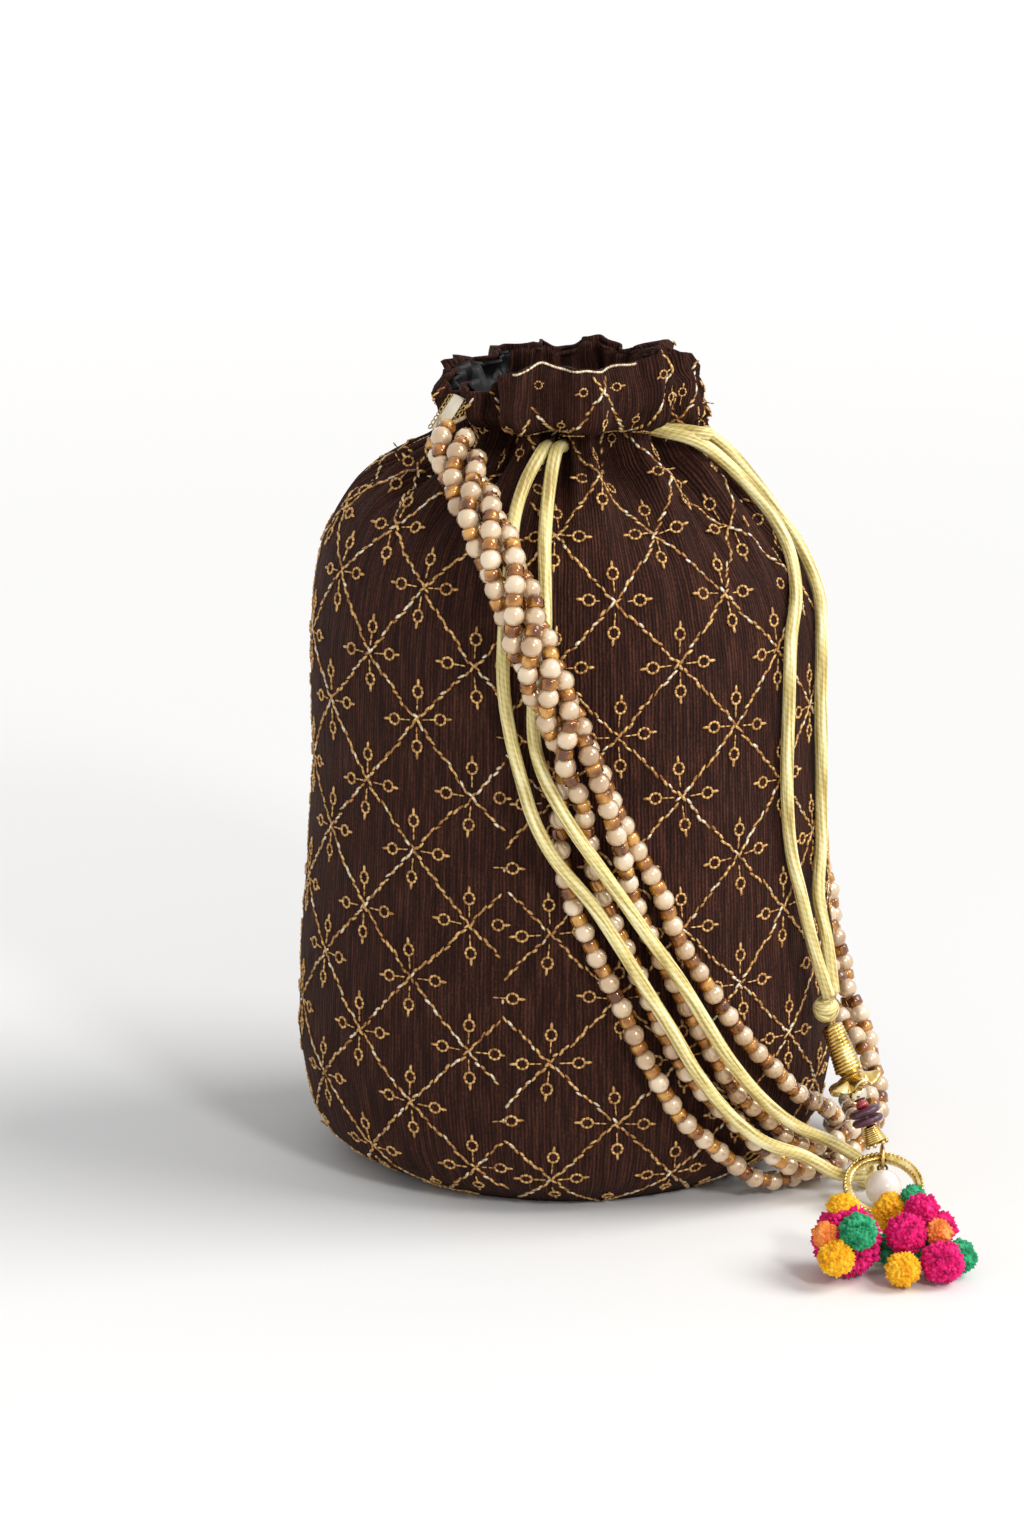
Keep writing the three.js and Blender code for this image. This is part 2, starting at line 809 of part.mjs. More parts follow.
function ballProfile(centre, radius, rows) {
  const start = Math.acos(boreRadius / radius);
  const profile = [];
  for (let i = 0; i <= rows; i += 1) {
    const lift = -start + (2 * start * i) / rows;
    profile.push([radius * Math.cos(lift), centre + radius * Math.sin(lift)]);
  }
  return profile.slice(1, -1);
}

const ball = ballProfile(ballCentre, ballRadius, 6);
add("brass_ball", onThread(strung(ball, 10)), materials.brass);
const seedBead = ballProfile(seedBeadHeight, seedBeadRadius, 4);
add("seed_bead", onThread(strung(seedBead, 8)), materials.red);

function disc(centre) {
  return [
    [discRadius - 0.4, centre - discThickness / 2],
    [discRadius, centre],
    [discRadius - 0.4, centre + discThickness / 2],
  ];
}
add("disc_upper", onThread(strung(disc(upperDisc), 14)), materials.maroon);
add("disc_lower", onThread(strung(disc(lowerDisc), 14)), materials.maroon);

// Hoop, its top in the ring under the cone, lying back on the table

const hoopWay = vector(-0.03, -Math.cos(radians(hoopLean)), -Math.sin(radians(hoopLean))).normalize();
const hoopSide = vector(1, 0, 0).addScaledVector(hoopWay, -hoopWay.x).normalize();
const hoopFace = hoopSide.clone().cross(hoopWay).normalize();
const hoopTurn = new THREE.Matrix4().makeBasis(hoopSide, hoopWay, hoopFace);

// Puts a geometry made in the hoop's plane (X across, Y from its top to its foot) in place
function inHoop(geometry) {
  return geometry.applyMatrix4(hoopTurn).translate(...hoopHinge);
}

function hoopGeometry() {
  const half = hoopThickness / 2;
  const bevel = 0.7;
  const section = [
    [hoopInner, -half + bevel],
    [hoopInner + bevel, -half],
    [hoopOuter - bevel, -half],
    [hoopOuter, -half + bevel],
    [hoopOuter, half - bevel],
    [hoopOuter - bevel, half],
    [hoopInner + bevel, half],
    [hoopInner, half - bevel],
    [hoopInner, -half + bevel],
  ];
  const ring = new THREE.LatheGeometry(section.map(([x, y]) => new THREE.Vector2(x, y)), 22);
  return ring.rotateX(Math.PI / 2).translate(0, hoopMiddle, 0);
}
add("hoop", inHoop(hoopGeometry()), materials.brass);

// Cone at the foot of the thread, with the ring under it that holds the hoop's top
const coneProfile = ribbed(coneFoot, coneTop, coneFootRadius, coneTopRadius, coneRibs, ribDepth);
const coneSeat = new THREE.CylinderGeometry(bailSeatRadius, bailSeatRadius, 1.3, 8);
coneSeat.rotateX(Math.PI / 2).translate(0, 0, coneFoot - 0.1);
const bail = new THREE.TorusGeometry(bailRadius, bailWire, 6, 14).rotateY(Math.PI / 2);
const cone = solid(onThread(strung(coneProfile, 10)))
  .add(solid(onThread(coneSeat)))
  .add(solid(inHoop(bail)));
add("ribbed_cone", geometryOf(cone), materials.brass);

// Pearl that hangs from the ring's wire, inside the hoop
function pearlPin() {
  const eye = new THREE.TorusGeometry(pinEyeRadius, pinRadius, 6, 10);
  eye.translate(0, bailRadius + pinEyeSlack, 0);
  const stemLength = pinFoot - bailRadius - pinEyeRadius - pinEyeSlack;
  const stem = new THREE.CylinderGeometry(pinRadius, pinRadius, stemLength, 6);
  stem.translate(0, pinFoot - stemLength / 2, 0);
  const head = new THREE.CylinderGeometry(3 * pinRadius, 3 * pinRadius, 2 * pinRadius, 8);
  head.translate(0, pinFoot, 0);
  return geometryOf(solid(eye).add(solid(stem)).add(solid(head)));
}
add("pearl_pin", inHoop(pearlPin()), materials.brass);
const pearlProfile = ballProfile(0, dropPearlRadius, 8);
const dropPearl = strung(pearlProfile, 12).rotateX(Math.PI / 2).translate(0, dropPearlPlace, 0);
add("pearl_drop", inHoop(dropPearl), materials.pearl);

// Pompoms in three bunches, hung from the hoop's foot on threads: place, radius, yarn

const pompoms = [
  ["magenta_large", [64.8, -88.8, 8.7], 8.6, 2, "magenta"],
  ["green_tuft", [67.5, -95.6, 14], 4.6, 1, "green"],
  ["yellow_tuft", [60, -98.5, 7.6], 4.6, 1, "yellow"],
  ["orange_tuft", [57.3, -93.4, 12.2], 4.2, 1, "orange"],
  ["yellow_top", [63.4, -86.4, 17], 4.4, 1, "yellow"],
  ["yellow_near_hoop", [77.5, -68, 7.4], 5.4, 1, "yellow"],
  ["green_near_hoop", [82.6, -68.6, 12.5], 3.8, 1, "green"],
  ["magenta_upper", [83.1, -80.2, 12.6], 4.7, 1, "magenta"],
  ["magenta_middle", [78.6, -88.6, 10.6], 4.9, 1, "magenta"],
  ["magenta_right", [89.6, -81.4, 8.8], 4.4, 1, "magenta"],
  ["orange_middle", [86.4, -87.6, 10.2], 3.6, 1, "orange"],
  ["green_middle", [82.6, -81.4, 5], 4.6, 1, "green"],
  ["green_left", [75.4, -83.4, 4.6], 4.4, 1, "green"],
  ["yellow_front", [77.2, -96.8, 4.7], 4.5, 1, "yellow"],
  ["magenta_front", [86.4, -94.6, 5], 4.8, 1, "magenta"],
  ["green_front", [93.4, -91.2, 4.7], 4.4, 1, "green"],
];

const hoopFoot = vector(0, hoopMiddle + hoopOuter, 0).applyMatrix4(hoopTurn).add(pointOf(hoopHinge));
const pompomThreads = [
  ["thread_left", [[-3, -0.15, 0.2], [-6, -9, 0.4], [-9.5, -18, 1.2]], [68.5, -80.5, 6.2]],
  ["thread_middle", [[-0.3, -0.8, 0.3], [-0.2, -4, 1.6]], [77.4, -62.4, 5.2]],
  ["thread_right", [[3, -0.4, 0.2], [8, -9, 0.4], [11, -16, 1.6]], [88.6, -77.2, 6.4]],
];
const packed = [];
for (const [name, steps, end] of pompomThreads) {
  const points = [...steps.map((step) => pointOf(step).add(hoopFoot)), pointOf(end)];
  const makeThread = (radius) => tubeAlong(points, radius, 4, 6);
  add("pompom_" + name, makeThread(pompomThreadRadius), materials.cord);
  packed.push(solid(makeThread(pompomThreadRadius + clearance)));
}
for (const [name, place, radius, detail, yarn] of pompoms) {
  let ball = solid(lump(place, radius, detail));
  for (const earlier of packed) ball = ball.subtract(earlier);
  const largest = ball.decompose().sort((a, b) => b.volume() - a.volume())[0];
  add("pompom_" + name, geometryOf(largest), materials[yarn]);
  packed.push(solid(lump(place, radius + clearance, detail)));
}

export default part;
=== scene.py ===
import bisect
import math
import random

import bmesh
import bpy
from mathutils import Matrix, Vector, noise


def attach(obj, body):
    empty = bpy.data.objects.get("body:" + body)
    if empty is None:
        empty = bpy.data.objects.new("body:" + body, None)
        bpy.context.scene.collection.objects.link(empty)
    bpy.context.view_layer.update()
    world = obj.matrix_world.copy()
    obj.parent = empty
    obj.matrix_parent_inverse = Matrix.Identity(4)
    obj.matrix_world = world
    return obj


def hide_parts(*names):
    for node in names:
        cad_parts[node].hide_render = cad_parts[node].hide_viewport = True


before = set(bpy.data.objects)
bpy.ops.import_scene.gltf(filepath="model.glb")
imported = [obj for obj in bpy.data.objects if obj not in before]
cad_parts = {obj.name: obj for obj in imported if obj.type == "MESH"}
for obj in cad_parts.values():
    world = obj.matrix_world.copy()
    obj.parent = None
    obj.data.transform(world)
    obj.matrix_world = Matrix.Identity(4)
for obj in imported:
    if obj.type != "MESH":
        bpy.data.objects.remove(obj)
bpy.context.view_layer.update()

# Lengths below are in millimetres, and mm turns them into Blender's metres
mm = 0.001
random.seed(11)

# Camera at the photograph's viewing angle

camera_distance = 1000
camera_elevation = math.radians(15)
camera_target = Vector((-13.75, 0, 99.6))
camera_lens = 93.75


def add_camera():
    data = bpy.data.cameras.new("camera")
    data.lens = camera_lens
    data.sensor_fit = "VERTICAL"
    data.sensor_height = 36
    data.clip_end = 10
    camera = bpy.data.objects.new("camera", data)
    back = Vector((0, -math.cos(camera_elevation), math.sin(camera_elevation)))
    camera.location = (camera_target + camera_distance * back) * mm
    camera.rotation_euler = (math.pi / 2 - camera_elevation, 0, 0)
    bpy.context.collection.objects.link(camera)
    bpy.context.scene.camera = camera


add_camera()

# Shader expressions


class Value:
    """An output socket that Python's operators add Math nodes to."""

    def __init__(self, finish, socket):
        self.finish = finish
        self.socket = socket

    def math(self, operation, *others):
        settings = {"operation": operation}
        return self.finish.node("ShaderNodeMath", settings, [self, *others])

    def __add__(self, other):
        return self.math("ADD", other)

    def __radd__(self, other):
        return self.math("ADD", other)

    def __sub__(self, other):
        return self.math("SUBTRACT", other)

    def __rsub__(self, other):
        return self.math("MULTIPLY_ADD", -1.0, other)

    def __mul__(self, other):
        return self.math("MULTIPLY", other)

    def __rmul__(self, other):
        return self.math("MULTIPLY", other)

    def __truediv__(self, other):
        return self.math("DIVIDE", other)

    def sine(self):
        return self.math("SINE")

    def absolute(self):
        return self.math("ABSOLUTE")

    def fraction(self):
        return self.math("FRACT")

    def floor(self):
        return self.math("FLOOR")

    def above(self, limit):
        return self.math("GREATER_THAN", limit)

    def power(self, exponent):
        return self.math("POWER", exponent)


class Finish:
    """One material: its nodes are made by node(), its surface by surface()."""

    def __init__(self, name):
        self.material = bpy.data.materials.new(name)
        self.material.use_nodes = True
        self.tree = self.material.node_tree
        self.shader = self.tree.nodes["Principled BSDF"]

    def feed(self, socket, value):
        if isinstance(value, Value):
            self.tree.links.new(value.socket, socket)
        else:
            socket.default_value = value

    def node(self, kind, settings, inputs, output=0):
        made = self.tree.nodes.new(kind)
        for name, value in settings.items():
            if name == "stops":
                self.set_stops(made.color_ramp, value)
            else:
                setattr(made, name, value)
        named = inputs.items() if isinstance(inputs, dict) else enumerate(inputs)
        for place, value in named:
            self.feed(made.inputs[place], value)
        return Value(self, made.outputs[output])

    def set_stops(self, ramp, stops):
        while len(ramp.elements) < len(stops):
            ramp.elements.new(1.0)
        for element, (place, color) in zip(ramp.elements, stops):
            element.position = place
            element.color = (*color, 1.0)

    def place(self):
        return self.node("ShaderNodeTexCoord", {}, {}, "Object")

    def along(self, output):
        uv = self.node("ShaderNodeTexCoord", {}, {}, "UV")
        return self.node("ShaderNodeSeparateXYZ", {}, [uv], output)

    def noise(self, scale, detail=3.0, vector=None):
        inputs = {"Vector": vector or self.place(), "Scale": scale, "Detail": detail}
        return self.node("ShaderNodeTexNoise", {}, inputs)

    def ramp(self, value, *stops):
        return self.node("ShaderNodeValToRGB", {"stops": stops}, [value])

    def blend(self, share, first, second):
        settings = {"data_type": "RGBA"}
        made = self.node("ShaderNodeMix", settings, {}, 2)
        node = made.socket.node
        self.feed(node.inputs[0], share)
        self.feed(node.inputs[6], first)
        self.feed(node.inputs[7], second)
        return made

    def bump(self, height, strength, distance):
        inputs = {"Height": height, "Strength": strength, "Distance": distance}
        return self.node("ShaderNodeBump", {}, inputs)

    def surface(self, **values):
        for name, value in values.items():
            title = name.replace("_", " ").title().replace("Ior", "IOR")
            self.feed(self.shader.inputs[title], value)
        return self.material


def srgb(red, green, blue):
    """A colour read off a screen, 0 to 255, as the light that Blender works in."""
    linear = []
    for part in (red, green, blue):
        part /= 255
        linear.append(part / 12.92 if part < 0.04045 else ((part + 0.055) / 1.055) ** 2.4)
    return tuple(linear)


def opaque(color):
    return (*color, 1.0)


# Materials


def brown_cloth():
    finish = Finish("ribbed_brown_cloth")
    across = finish.along("X")
    up = finish.along("Y")
    wander = finish.noise(260.0, 2.0) * 0.9
    rib = ((across * rib_density + wander) * math.tau).sine()
    crepe = finish.noise(1500.0, 2.0)
    slub = finish.node(
        "ShaderNodeCombineXYZ", {}, [across * 900.0, up * 70.0, 0.0]
    )
    slub = finish.noise(1.0, 2.0, slub)
    # In the colour, the rib term paints shade in the grooves between the ribs; crepe and slub are the
    # cloth's own uneven tone.
    shade = rib * 0.07 + crepe * 0.35 + slub * 0.65
    color = finish.ramp(
        shade,
        (0.28, srgb(24, 10, 7)),
        (0.5, srgb(48, 24, 17)),
        (0.74, srgb(88, 52, 39)),
    )
    height = rib * 0.45 + crepe * 0.5 + slub * 0.7
    return finish.surface(
        base_color=color,
        roughness=0.86,
        specular_ior_level=0.14,
        normal=finish.bump(height, 0.6, 0.0005),
    )


def black_satin():
    finish = Finish("black_satin")
    # The fold noise lightens and darkens the satin's colour in patches: painted sheen and shade of folds.
    # It also varies the gloss.
    fold = finish.noise(60.0, 2.0)
    weave = finish.noise(2600.0, 1.0)
    color = finish.ramp(fold, (0.3, srgb(6, 6, 7)), (0.7, srgb(16, 15, 16)))
    return finish.surface(
        base_color=color,
        roughness=0.38 + fold * 0.2,
        specular_ior_level=0.3,
        normal=finish.bump(weave, 0.15, 0.0002),
    )


def satin_cord():
    finish = Finish("pale_yellow_satin_cord")
    along = finish.along("X")
    around = finish.along("Y")
    streak = finish.node("ShaderNodeCombineXYZ", {}, [along * 70.0, around * 11.0 + along * 30.0, 0.0])
    fibre = finish.noise(1.0, 3.0, streak)
    braid = ((along * cord_braid_density + around * 2.0) * math.tau).sine().absolute()
    # In the colour, the fibre streaks are partly the fibres' own tone and partly painted satin sheen, and
    # the braid term paints light on the braid's ridges and shade between them.
    tone = fibre * 2.0 - 0.56 + braid * 0.1
    color = finish.ramp(
        tone,
        (0.22, srgb(170, 146, 78)),
        (0.5, srgb(228, 208, 132)),
        (0.78, srgb(253, 246, 196)),
    )
    return finish.surface(
        base_color=color,
        roughness=0.3 + fibre * 0.25,
        normal=finish.bump(fibre + braid * 0.15, 0.7, 0.0005),
    )


def pearl_coat():
    finish = Finish("cream_pearl")
    tint = finish.noise(90.0, 2.0)
    fine = finish.noise(900.0, 2.0)
    color = finish.ramp(
        tint,
        (0.3, srgb(178, 144, 108)),
        (0.5, srgb(218, 190, 154)),
        (0.72, srgb(240, 220, 190)),
    )
    return finish.surface(
        base_color=color,
        roughness=0.18 + fine * 0.1,
        metallic=0.25,
        coat_weight=1.0,
        coat_roughness=0.04,
    )


def white_pearl():
    finish = Finish("white_pearl")
    tint = finish.noise(150.0, 2.0)
    color = finish.ramp(tint, (0.3, srgb(222, 208, 196)), (0.7, srgb(246, 241, 236)))
    return finish.surface(
        base_color=color, roughness=0.14 + tint * 0.1, coat_weight=0.9, coat_roughness=0.05
    )


def bright_ball():
    finish = Finish("polished_ball")
    wear = finish.noise(700.0, 2.0)
    color = finish.ramp(wear, (0.3, srgb(214, 204, 172)), (0.7, srgb(244, 240, 224)))
    return finish.surface(base_color=color, roughness=0.05 + wear * 0.08, metallic=1.0)


def amber_glass():
    finish = Finish("amber_glass_tube")
    tint = finish.noise(260.0, 1.0)
    color = finish.ramp(
        tint,
        (0.35, srgb(98, 52, 12)),
        (0.5, srgb(160, 100, 30)),
        (0.66, srgb(216, 160, 76)),
    )
    return finish.surface(
        base_color=color,
        roughness=0.16,
        metallic=0.35,
        coat_weight=0.6,
        coat_roughness=0.05,
    )


def bead_thread():
    finish = Finish("bead_thread")
    twist = finish.noise(1200.0, 1.0)
    color = finish.ramp(twist, (0.3, srgb(150, 130, 96)), (0.7, srgb(196, 176, 138)))
    return finish.surface(base_color=color, roughness=0.7)


def yarn(name, dark, middle, light):
    finish = Finish(name)
    tuft = finish.noise(420.0, 3.0)
    fibre = finish.noise(3000.0, 2.0)
    color = finish.ramp(
        tuft * 0.8 + fibre * 0.2, (0.3, srgb(*dark)), (0.5, srgb(*middle)), (0.7, srgb(*light))
    )
    return finish.surface(
        base_color=color,
        roughness=0.95,
        normal=finish.bump(fibre, 0.4, 0.0003),
    )


def worn_brass():
    finish = Finish("worn_brass")
    wear = finish.noise(260.0, 2.0)
    scratch = finish.noise(900.0, 1.0)
    color = finish.ramp(
        wear,
        (0.3, srgb(160, 126, 62)),
        (0.5, srgb(212, 184, 112)),
        (0.72, srgb(240, 222, 166)),
    )
    return finish.surface(
        base_color=color,
        roughness=0.12 + wear * 0.24,
        metallic=1.0,
        normal=finish.bump(scratch, 0.05, 0.0001),
    )


def dark_disc():
    finish = Finish("maroon_disc")
    grain = finish.noise(700.0, 3.0)
    color = finish.ramp(grain, (0.3, srgb(48, 18, 36)), (0.7, srgb(92, 42, 66)))
    return finish.surface(base_color=color, roughness=0.32 + grain * 0.2, coat_weight=0.2)


def red_glass():
    finish = Finish("red_seed_bead")
    tint = finish.noise(900.0, 1.0)
    color = finish.ramp(tint, (0.35, srgb(120, 20, 34)), (0.65, srgb(190, 48, 62)))
    return finish.surface(base_color=color, roughness=0.15, coat_weight=0.5)


def tab_satin():
    finish = Finish("cream_satin_ribbon")
    weave = finish.noise(1600.0, 2.0)
    # The crease noise darkens and lightens the ribbon's colour: painted shade and sheen of creases. It also
    # varies the gloss.
    crease_shade_and_gloss = finish.noise(160.0, 2.0)
    color = finish.ramp(crease_shade_and_gloss, (0.3, srgb(206, 190, 160)), (0.7, srgb(244, 234, 212)))
    return finish.surface(
        base_color=color,
        roughness=0.4 + crease_shade_and_gloss * 0.15,
        normal=finish.bump(weave, 0.3, 0.0002),
    )


def gold_lace():
    finish = Finish("gold_lace")
    weave = finish.noise(1400.0, 2.0)
    color = finish.ramp(
        weave,
        (0.35, srgb(104, 78, 34)),
        (0.55, srgb(182, 150, 78)),
        (0.72, srgb(222, 196, 130)),
    )
    return finish.surface(
        base_color=color,
        roughness=0.36,
        metallic=0.7,
        normal=finish.bump(weave, 0.6, 0.0003),
    )


def pin_steel():
    finish = Finish("dark_pin")
    tint = finish.noise(900.0, 2.0)
    color = finish.ramp(tint, (0.3, srgb(52, 44, 36)), (0.7, srgb(98, 84, 66)))
    return finish.surface(base_color=color, roughness=0.32, metallic=0.9)


# Sizes that the materials read: ribs of the cloth and crossings of the cord's braid, per metre
rib_density = 1100.0
cord_braid_density = 320.0

# The bag's outline: height, then its reach to the left, right, front and back
body_outline = [
    (0, 46, 47, 40, 40),
    (3, 54, 54, 46, 46),
    (8, 61.4, 61.5, 51.5, 51.5),
    (16, 65.2, 65.6, 54.6, 54.6),
    (31, 67.9, 68.2, 57, 57),
    (47, 67.1, 68.1, 57, 57),
    (67, 65.9, 66.3, 56.3, 56.3),
    (102, 63.6, 64.2, 55, 55),
    (137, 63.6, 63.2, 53.5, 53.5),
    (146, 62.7, 61, 52.5, 52.5),
    (153, 61.7, 57.8, 51, 51),
    (160, 59.9, 53, 48.5, 48.5),
    (166, 56.7, 49, 45, 45),
    (172, 52.3, 45, 41, 41),
    (177, 46.6, 41.5, 37, 37),
    (181, 39.9, 39, 33, 33),
    (184.5, 32, 34, 27, 27),
    (189, 31, 33, 26, 26),
]
neck_foot = 184.5
neck_top = 189

# Gathers and ruffle
gather_count = 14
gather_depth = 6.5
rim_gather_depth = 2.6
gather_pitch = 360 / gather_count
gather_phase = gather_pitch / 4
gather_end_right = 147
gather_end_left = 168
ruffle = [
    (0, 205.5, 7.5, 8.5),
    (20, 206, 7, 8),
    (38, 209, 3, 6),
    (62, 206, -1, 3),
    (90, 200.5, -4, 2),
    (120, 203.5, -2.5, 2),
    (150, 203.5, 0, 2.5),
    (170, 204.5, 1, 2),
    (184, 201.5, 0, 2),
    (200, 204.5, 1, 2),
    (225, 202.5, -0.5, 2),
    (255, 200.5, -0.5, 2),
    (275, 199.5, 1, 1),
    (300, 198, 3, 2),
    (318, 197.5, 5, 4),
    (338, 203.5, 7, 7.5),
    (360, 205.5, 7.5, 8.5),
]

# Cords, beads and their clearances, as in the solids
clearance = 0.3
cloth_wall = 1.2
cord_diameter = 3.2
cord_radius = cord_diameter / 2
pearl_diameter = 5.2
pearl_radius = pearl_diameter / 2
tube_diameter = 3.8
first_bead_station = 2
bead_pitch = 7
bundle_radius = 4.2
bundle_turns = 2.2
return_turns = 2.6
strand_turn_front = 0.825
strand_turn_return = 0.625
knot_radius = 3.3
on_cloth = cord_radius + clearance
bead_on_cloth = pearl_radius + clearance
slot_pairing = cord_radius + clearance / 2
loop_gap = 22
over_beads = pearl_diameter + cord_radius + 3 * clearance
over_cords = cord_diameter + bundle_radius + pearl_radius + 2 * clearance
bundle_on_cloth = bundle_radius + pearl_radius + clearance
front_slot_angle = gather_phase - gather_pitch / 2
right_slot_angle = gather_phase + 1.5 * gather_pitch
front_cord_height = 185.2
right_cord_height = front_cord_height + cord_diameter + clearance
hoop_hinge = Vector((77.4, -39.3, 10.6))
right_knot = Vector((63.5, -29.6, 46.1))
front_knot = Vector((74.6, -31.6, 3.4))


def mix(low, high, share):
    return low + (high - low) * share


def eased(value, low, high):
    share = min(max((value - low) / (high - low), 0), 1)
    return share * share * (3 - 2 * share)


def between(table, at, column):
    row = 1
    while row < len(table) - 1 and table[row][0] < at:
        row += 1
    low, high = table[row - 1], table[row]
    return mix(low[column], high[column], (at - low[0]) / (high[0] - low[0]))


def outline_point(angle, height):
    sine = math.sin(math.radians(angle))
    cosine = math.cos(math.radians(angle))
    across = between(body_outline, height, 1 if sine < 0 else 2)
    deep = between(body_outline, height, 3 if cosine > 0 else 4)
    return Vector((across * sine, -deep * cosine, height))


def off_cloth(place):
    """A point that stands off the cloth, square to it: angle, height, lift."""
    angle, height, lift = place
    around = outline_point(angle + 1, height) - outline_point(angle - 1, height)
    up = outline_point(angle, height + 1.5) - outline_point(angle, height - 1.5)
    return outline_point(angle, height) + around.cross(up).normalized() * lift


def smooth_route(points, step):
    """Points a step apart on the rounded line through the given ones."""
    points = [Vector(p) for p in points]
    ends = [2 * points[0] - points[1], *points, 2 * points[-1] - points[-2]]
    fine = []
    for i in range(1, len(ends) - 2):
        p0, p1, p2, p3 = ends[i - 1 : i + 3]
        gaps = [max((b - a).length, 1e-6) ** 0.5 for a, b in ((p0, p1), (p1, p2), (p2, p3))]
        d0, d1, d2 = gaps
        out = ((p1 - p0) / d0 - (p2 - p0) / (d0 + d1) + (p2 - p1) / d1) * d1
        into = ((p2 - p1) / d1 - (p3 - p1) / (d1 + d2) + (p3 - p2) / d2) * d1
        count = max(2, round((p2 - p1).length / 0.4))
        for k in range(count):
            t = k / count
            fine.append(
                p1 * (2 * t**3 - 3 * t**2 + 1)
                + out * (t**3 - 2 * t**2 + t)
                + p2 * (-2 * t**3 + 3 * t**2)
                + into * (t**3 - t**2)
            )
    fine.append(points[-1])
    return spaced(fine, step)


def spaced(fine, step):
    lengths = [0.0]
    for a, b in zip(fine, fine[1:]):
        lengths.append(lengths[-1] + (b - a).length)
    count = max(2, round(lengths[-1] / step))
    route = []
    j = 0
    for k in range(count + 1):
        want = lengths[-1] * k / count
        while j < len(fine) - 2 and lengths[j + 1] < want:
            j += 1
        share = (want - lengths[j]) / max(lengths[j + 1] - lengths[j], 1e-9)
        route.append(fine[j].lerp(fine[j + 1], min(max(share, 0), 1)))
    return route


def route_length(route):
    return sum((b - a).length for a, b in zip(route, route[1:]))


def frames_along(route):
    """A direction, a side and an up for each point, turning as little as they can."""
    frames = []
    side = None
    for i in range(len(route)):
        ahead = (route[min(i + 1, len(route) - 1)] - route[max(i - 1, 0)]).normalized()
        if side is None:
            side = ahead.orthogonal().normalized()
        side = (side - ahead * side.dot(ahead)).normalized()
        frames.append((ahead, side, ahead.cross(side)))
    return frames


# Making pieces


def finish_piece(name, bm, materials, body="bag", smooth=True):
    mesh = bpy.data.meshes.new(name)
    bmesh.ops.transform(bm, matrix=Matrix.Scale(mm, 4), verts=bm.verts)
    bm.to_mesh(mesh)
    bm.free()
    for material in materials:
        mesh.materials.append(material)
    mesh.shade_smooth() if smooth else mesh.shade_flat()
    piece = bpy.data.objects.new(name, mesh)
    bpy.context.collection.objects.link(piece)
    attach(piece, body)
    return piece


def wrap_grid(bm, columns, rows, place_at, material=0):
    """A grid whose points are moved to place_at(share across, share up), seams merged."""
    bm.loops.layers.uv.verify()
    old = set(bm.verts)
    old_faces = set(bm.faces)
    made = bmesh.ops.create_grid(bm, x_segments=columns, y_segments=rows, size=0.5, calc_uvs=True)
    for vert in made["verts"]:
        across = round((vert.co.x + 0.5) * columns) / columns
        up = round((vert.co.y + 0.5) * rows) / rows
        vert.co = place_at(across, up)
    new = [vert for vert in bm.verts if vert not in old]
    bmesh.ops.remove_doubles(bm, verts=new, dist=2e-4)
    faces = [face for face in bm.faces if face not in old_faces]
    for face in faces:
        face.material_index = material
    bmesh.ops.recalc_face_normals(bm, faces=faces)


def wrap_turned(bm, profile, sides, shape=None, matrix=None, material=0):
    """A profile of radii and heights, turned round Z, then shaped and placed."""

    def place_at(across, up):
        radius, height = profile[round(up * (len(profile) - 1))]
        turn = math.tau * across
        if across == 1:
            turn = 0
        if shape:
            radius, height = shape(radius, height, turn)
        point = Vector((radius * math.cos(turn), radius * math.sin(turn), height))
        return matrix @ point if matrix else point

    wrap_grid(bm, sides, len(profile) - 1, place_at, material)


def ball_profile(radius, centre, rows=12, squash=1.0):
    angles = [math.pi * (i / rows - 0.5) for i in range(rows + 1)]
    return [(abs(radius * math.cos(a)), centre + squash * radius * math.sin(a)) for a in angles]


def wrap_tube(bm, route, radius_at, sides, material=0, caps=True):
    """A grid rolled round a route, with its UV map in metres along and turns around."""
    uv = bm.loops.layers.uv.verify()
    old = set(bm.verts)
    old_faces = set(bm.faces)
    made = bmesh.ops.create_grid(
        bm, x_segments=len(route) - 1, y_segments=sides, size=0.5, calc_uvs=True
    )
    frames = frames_along(route)
    length = route_length(route) * mm
    for face in bm.faces:
        if face in old_faces:
            continue
        face.material_index = material
        for loop in face.loops:
            loop[uv].uv = (loop[uv].uv.x * length, loop[uv].uv.y)
    for vert in made["verts"]:
        station = round((vert.co.x + 0.5) * (len(route) - 1))
        turn = math.tau * round((vert.co.y + 0.5) * sides) / sides
        ahead, side, up = frames[station]
        radius = radius_at(station / (len(route) - 1))
        vert.co = route[station] + radius * (math.cos(turn) * side + math.sin(turn) * up)
    new = [v for v in bm.verts if v not in old]
    bmesh.ops.remove_doubles(bm, verts=new, dist=1e-4)
    if caps:
        rims = [e for e in bm.edges if e.is_boundary and e.verts[0] not in old]
        bmesh.ops.holes_fill(bm, edges=rims, sides=sides)
    faces = [f for f in bm.faces if f not in old_faces]
    bmesh.ops.recalc_face_normals(bm, faces=faces)


def stamp(bm, template, matrix):
    """Adds a copy of a small mesh, placed by a matrix."""
    placed = template.copy()
    placed.transform(matrix)
    bm.from_mesh(placed)
    bpy.data.meshes.remove(placed)


def template_of(bm, material=0):
    for face in bm.faces:
        face.material_index = material
    mesh = bpy.data.meshes.new("template")
    bm.to_mesh(mesh)
    bm.free()
    return mesh


def basis(place, across, along, up):
    """The matrix that puts X, Y and Z along the three given directions at a place."""
    matrix = Matrix((across, along, up)).transposed().to_4x4()
    matrix.translation = place
    return matrix


# Drawstrings

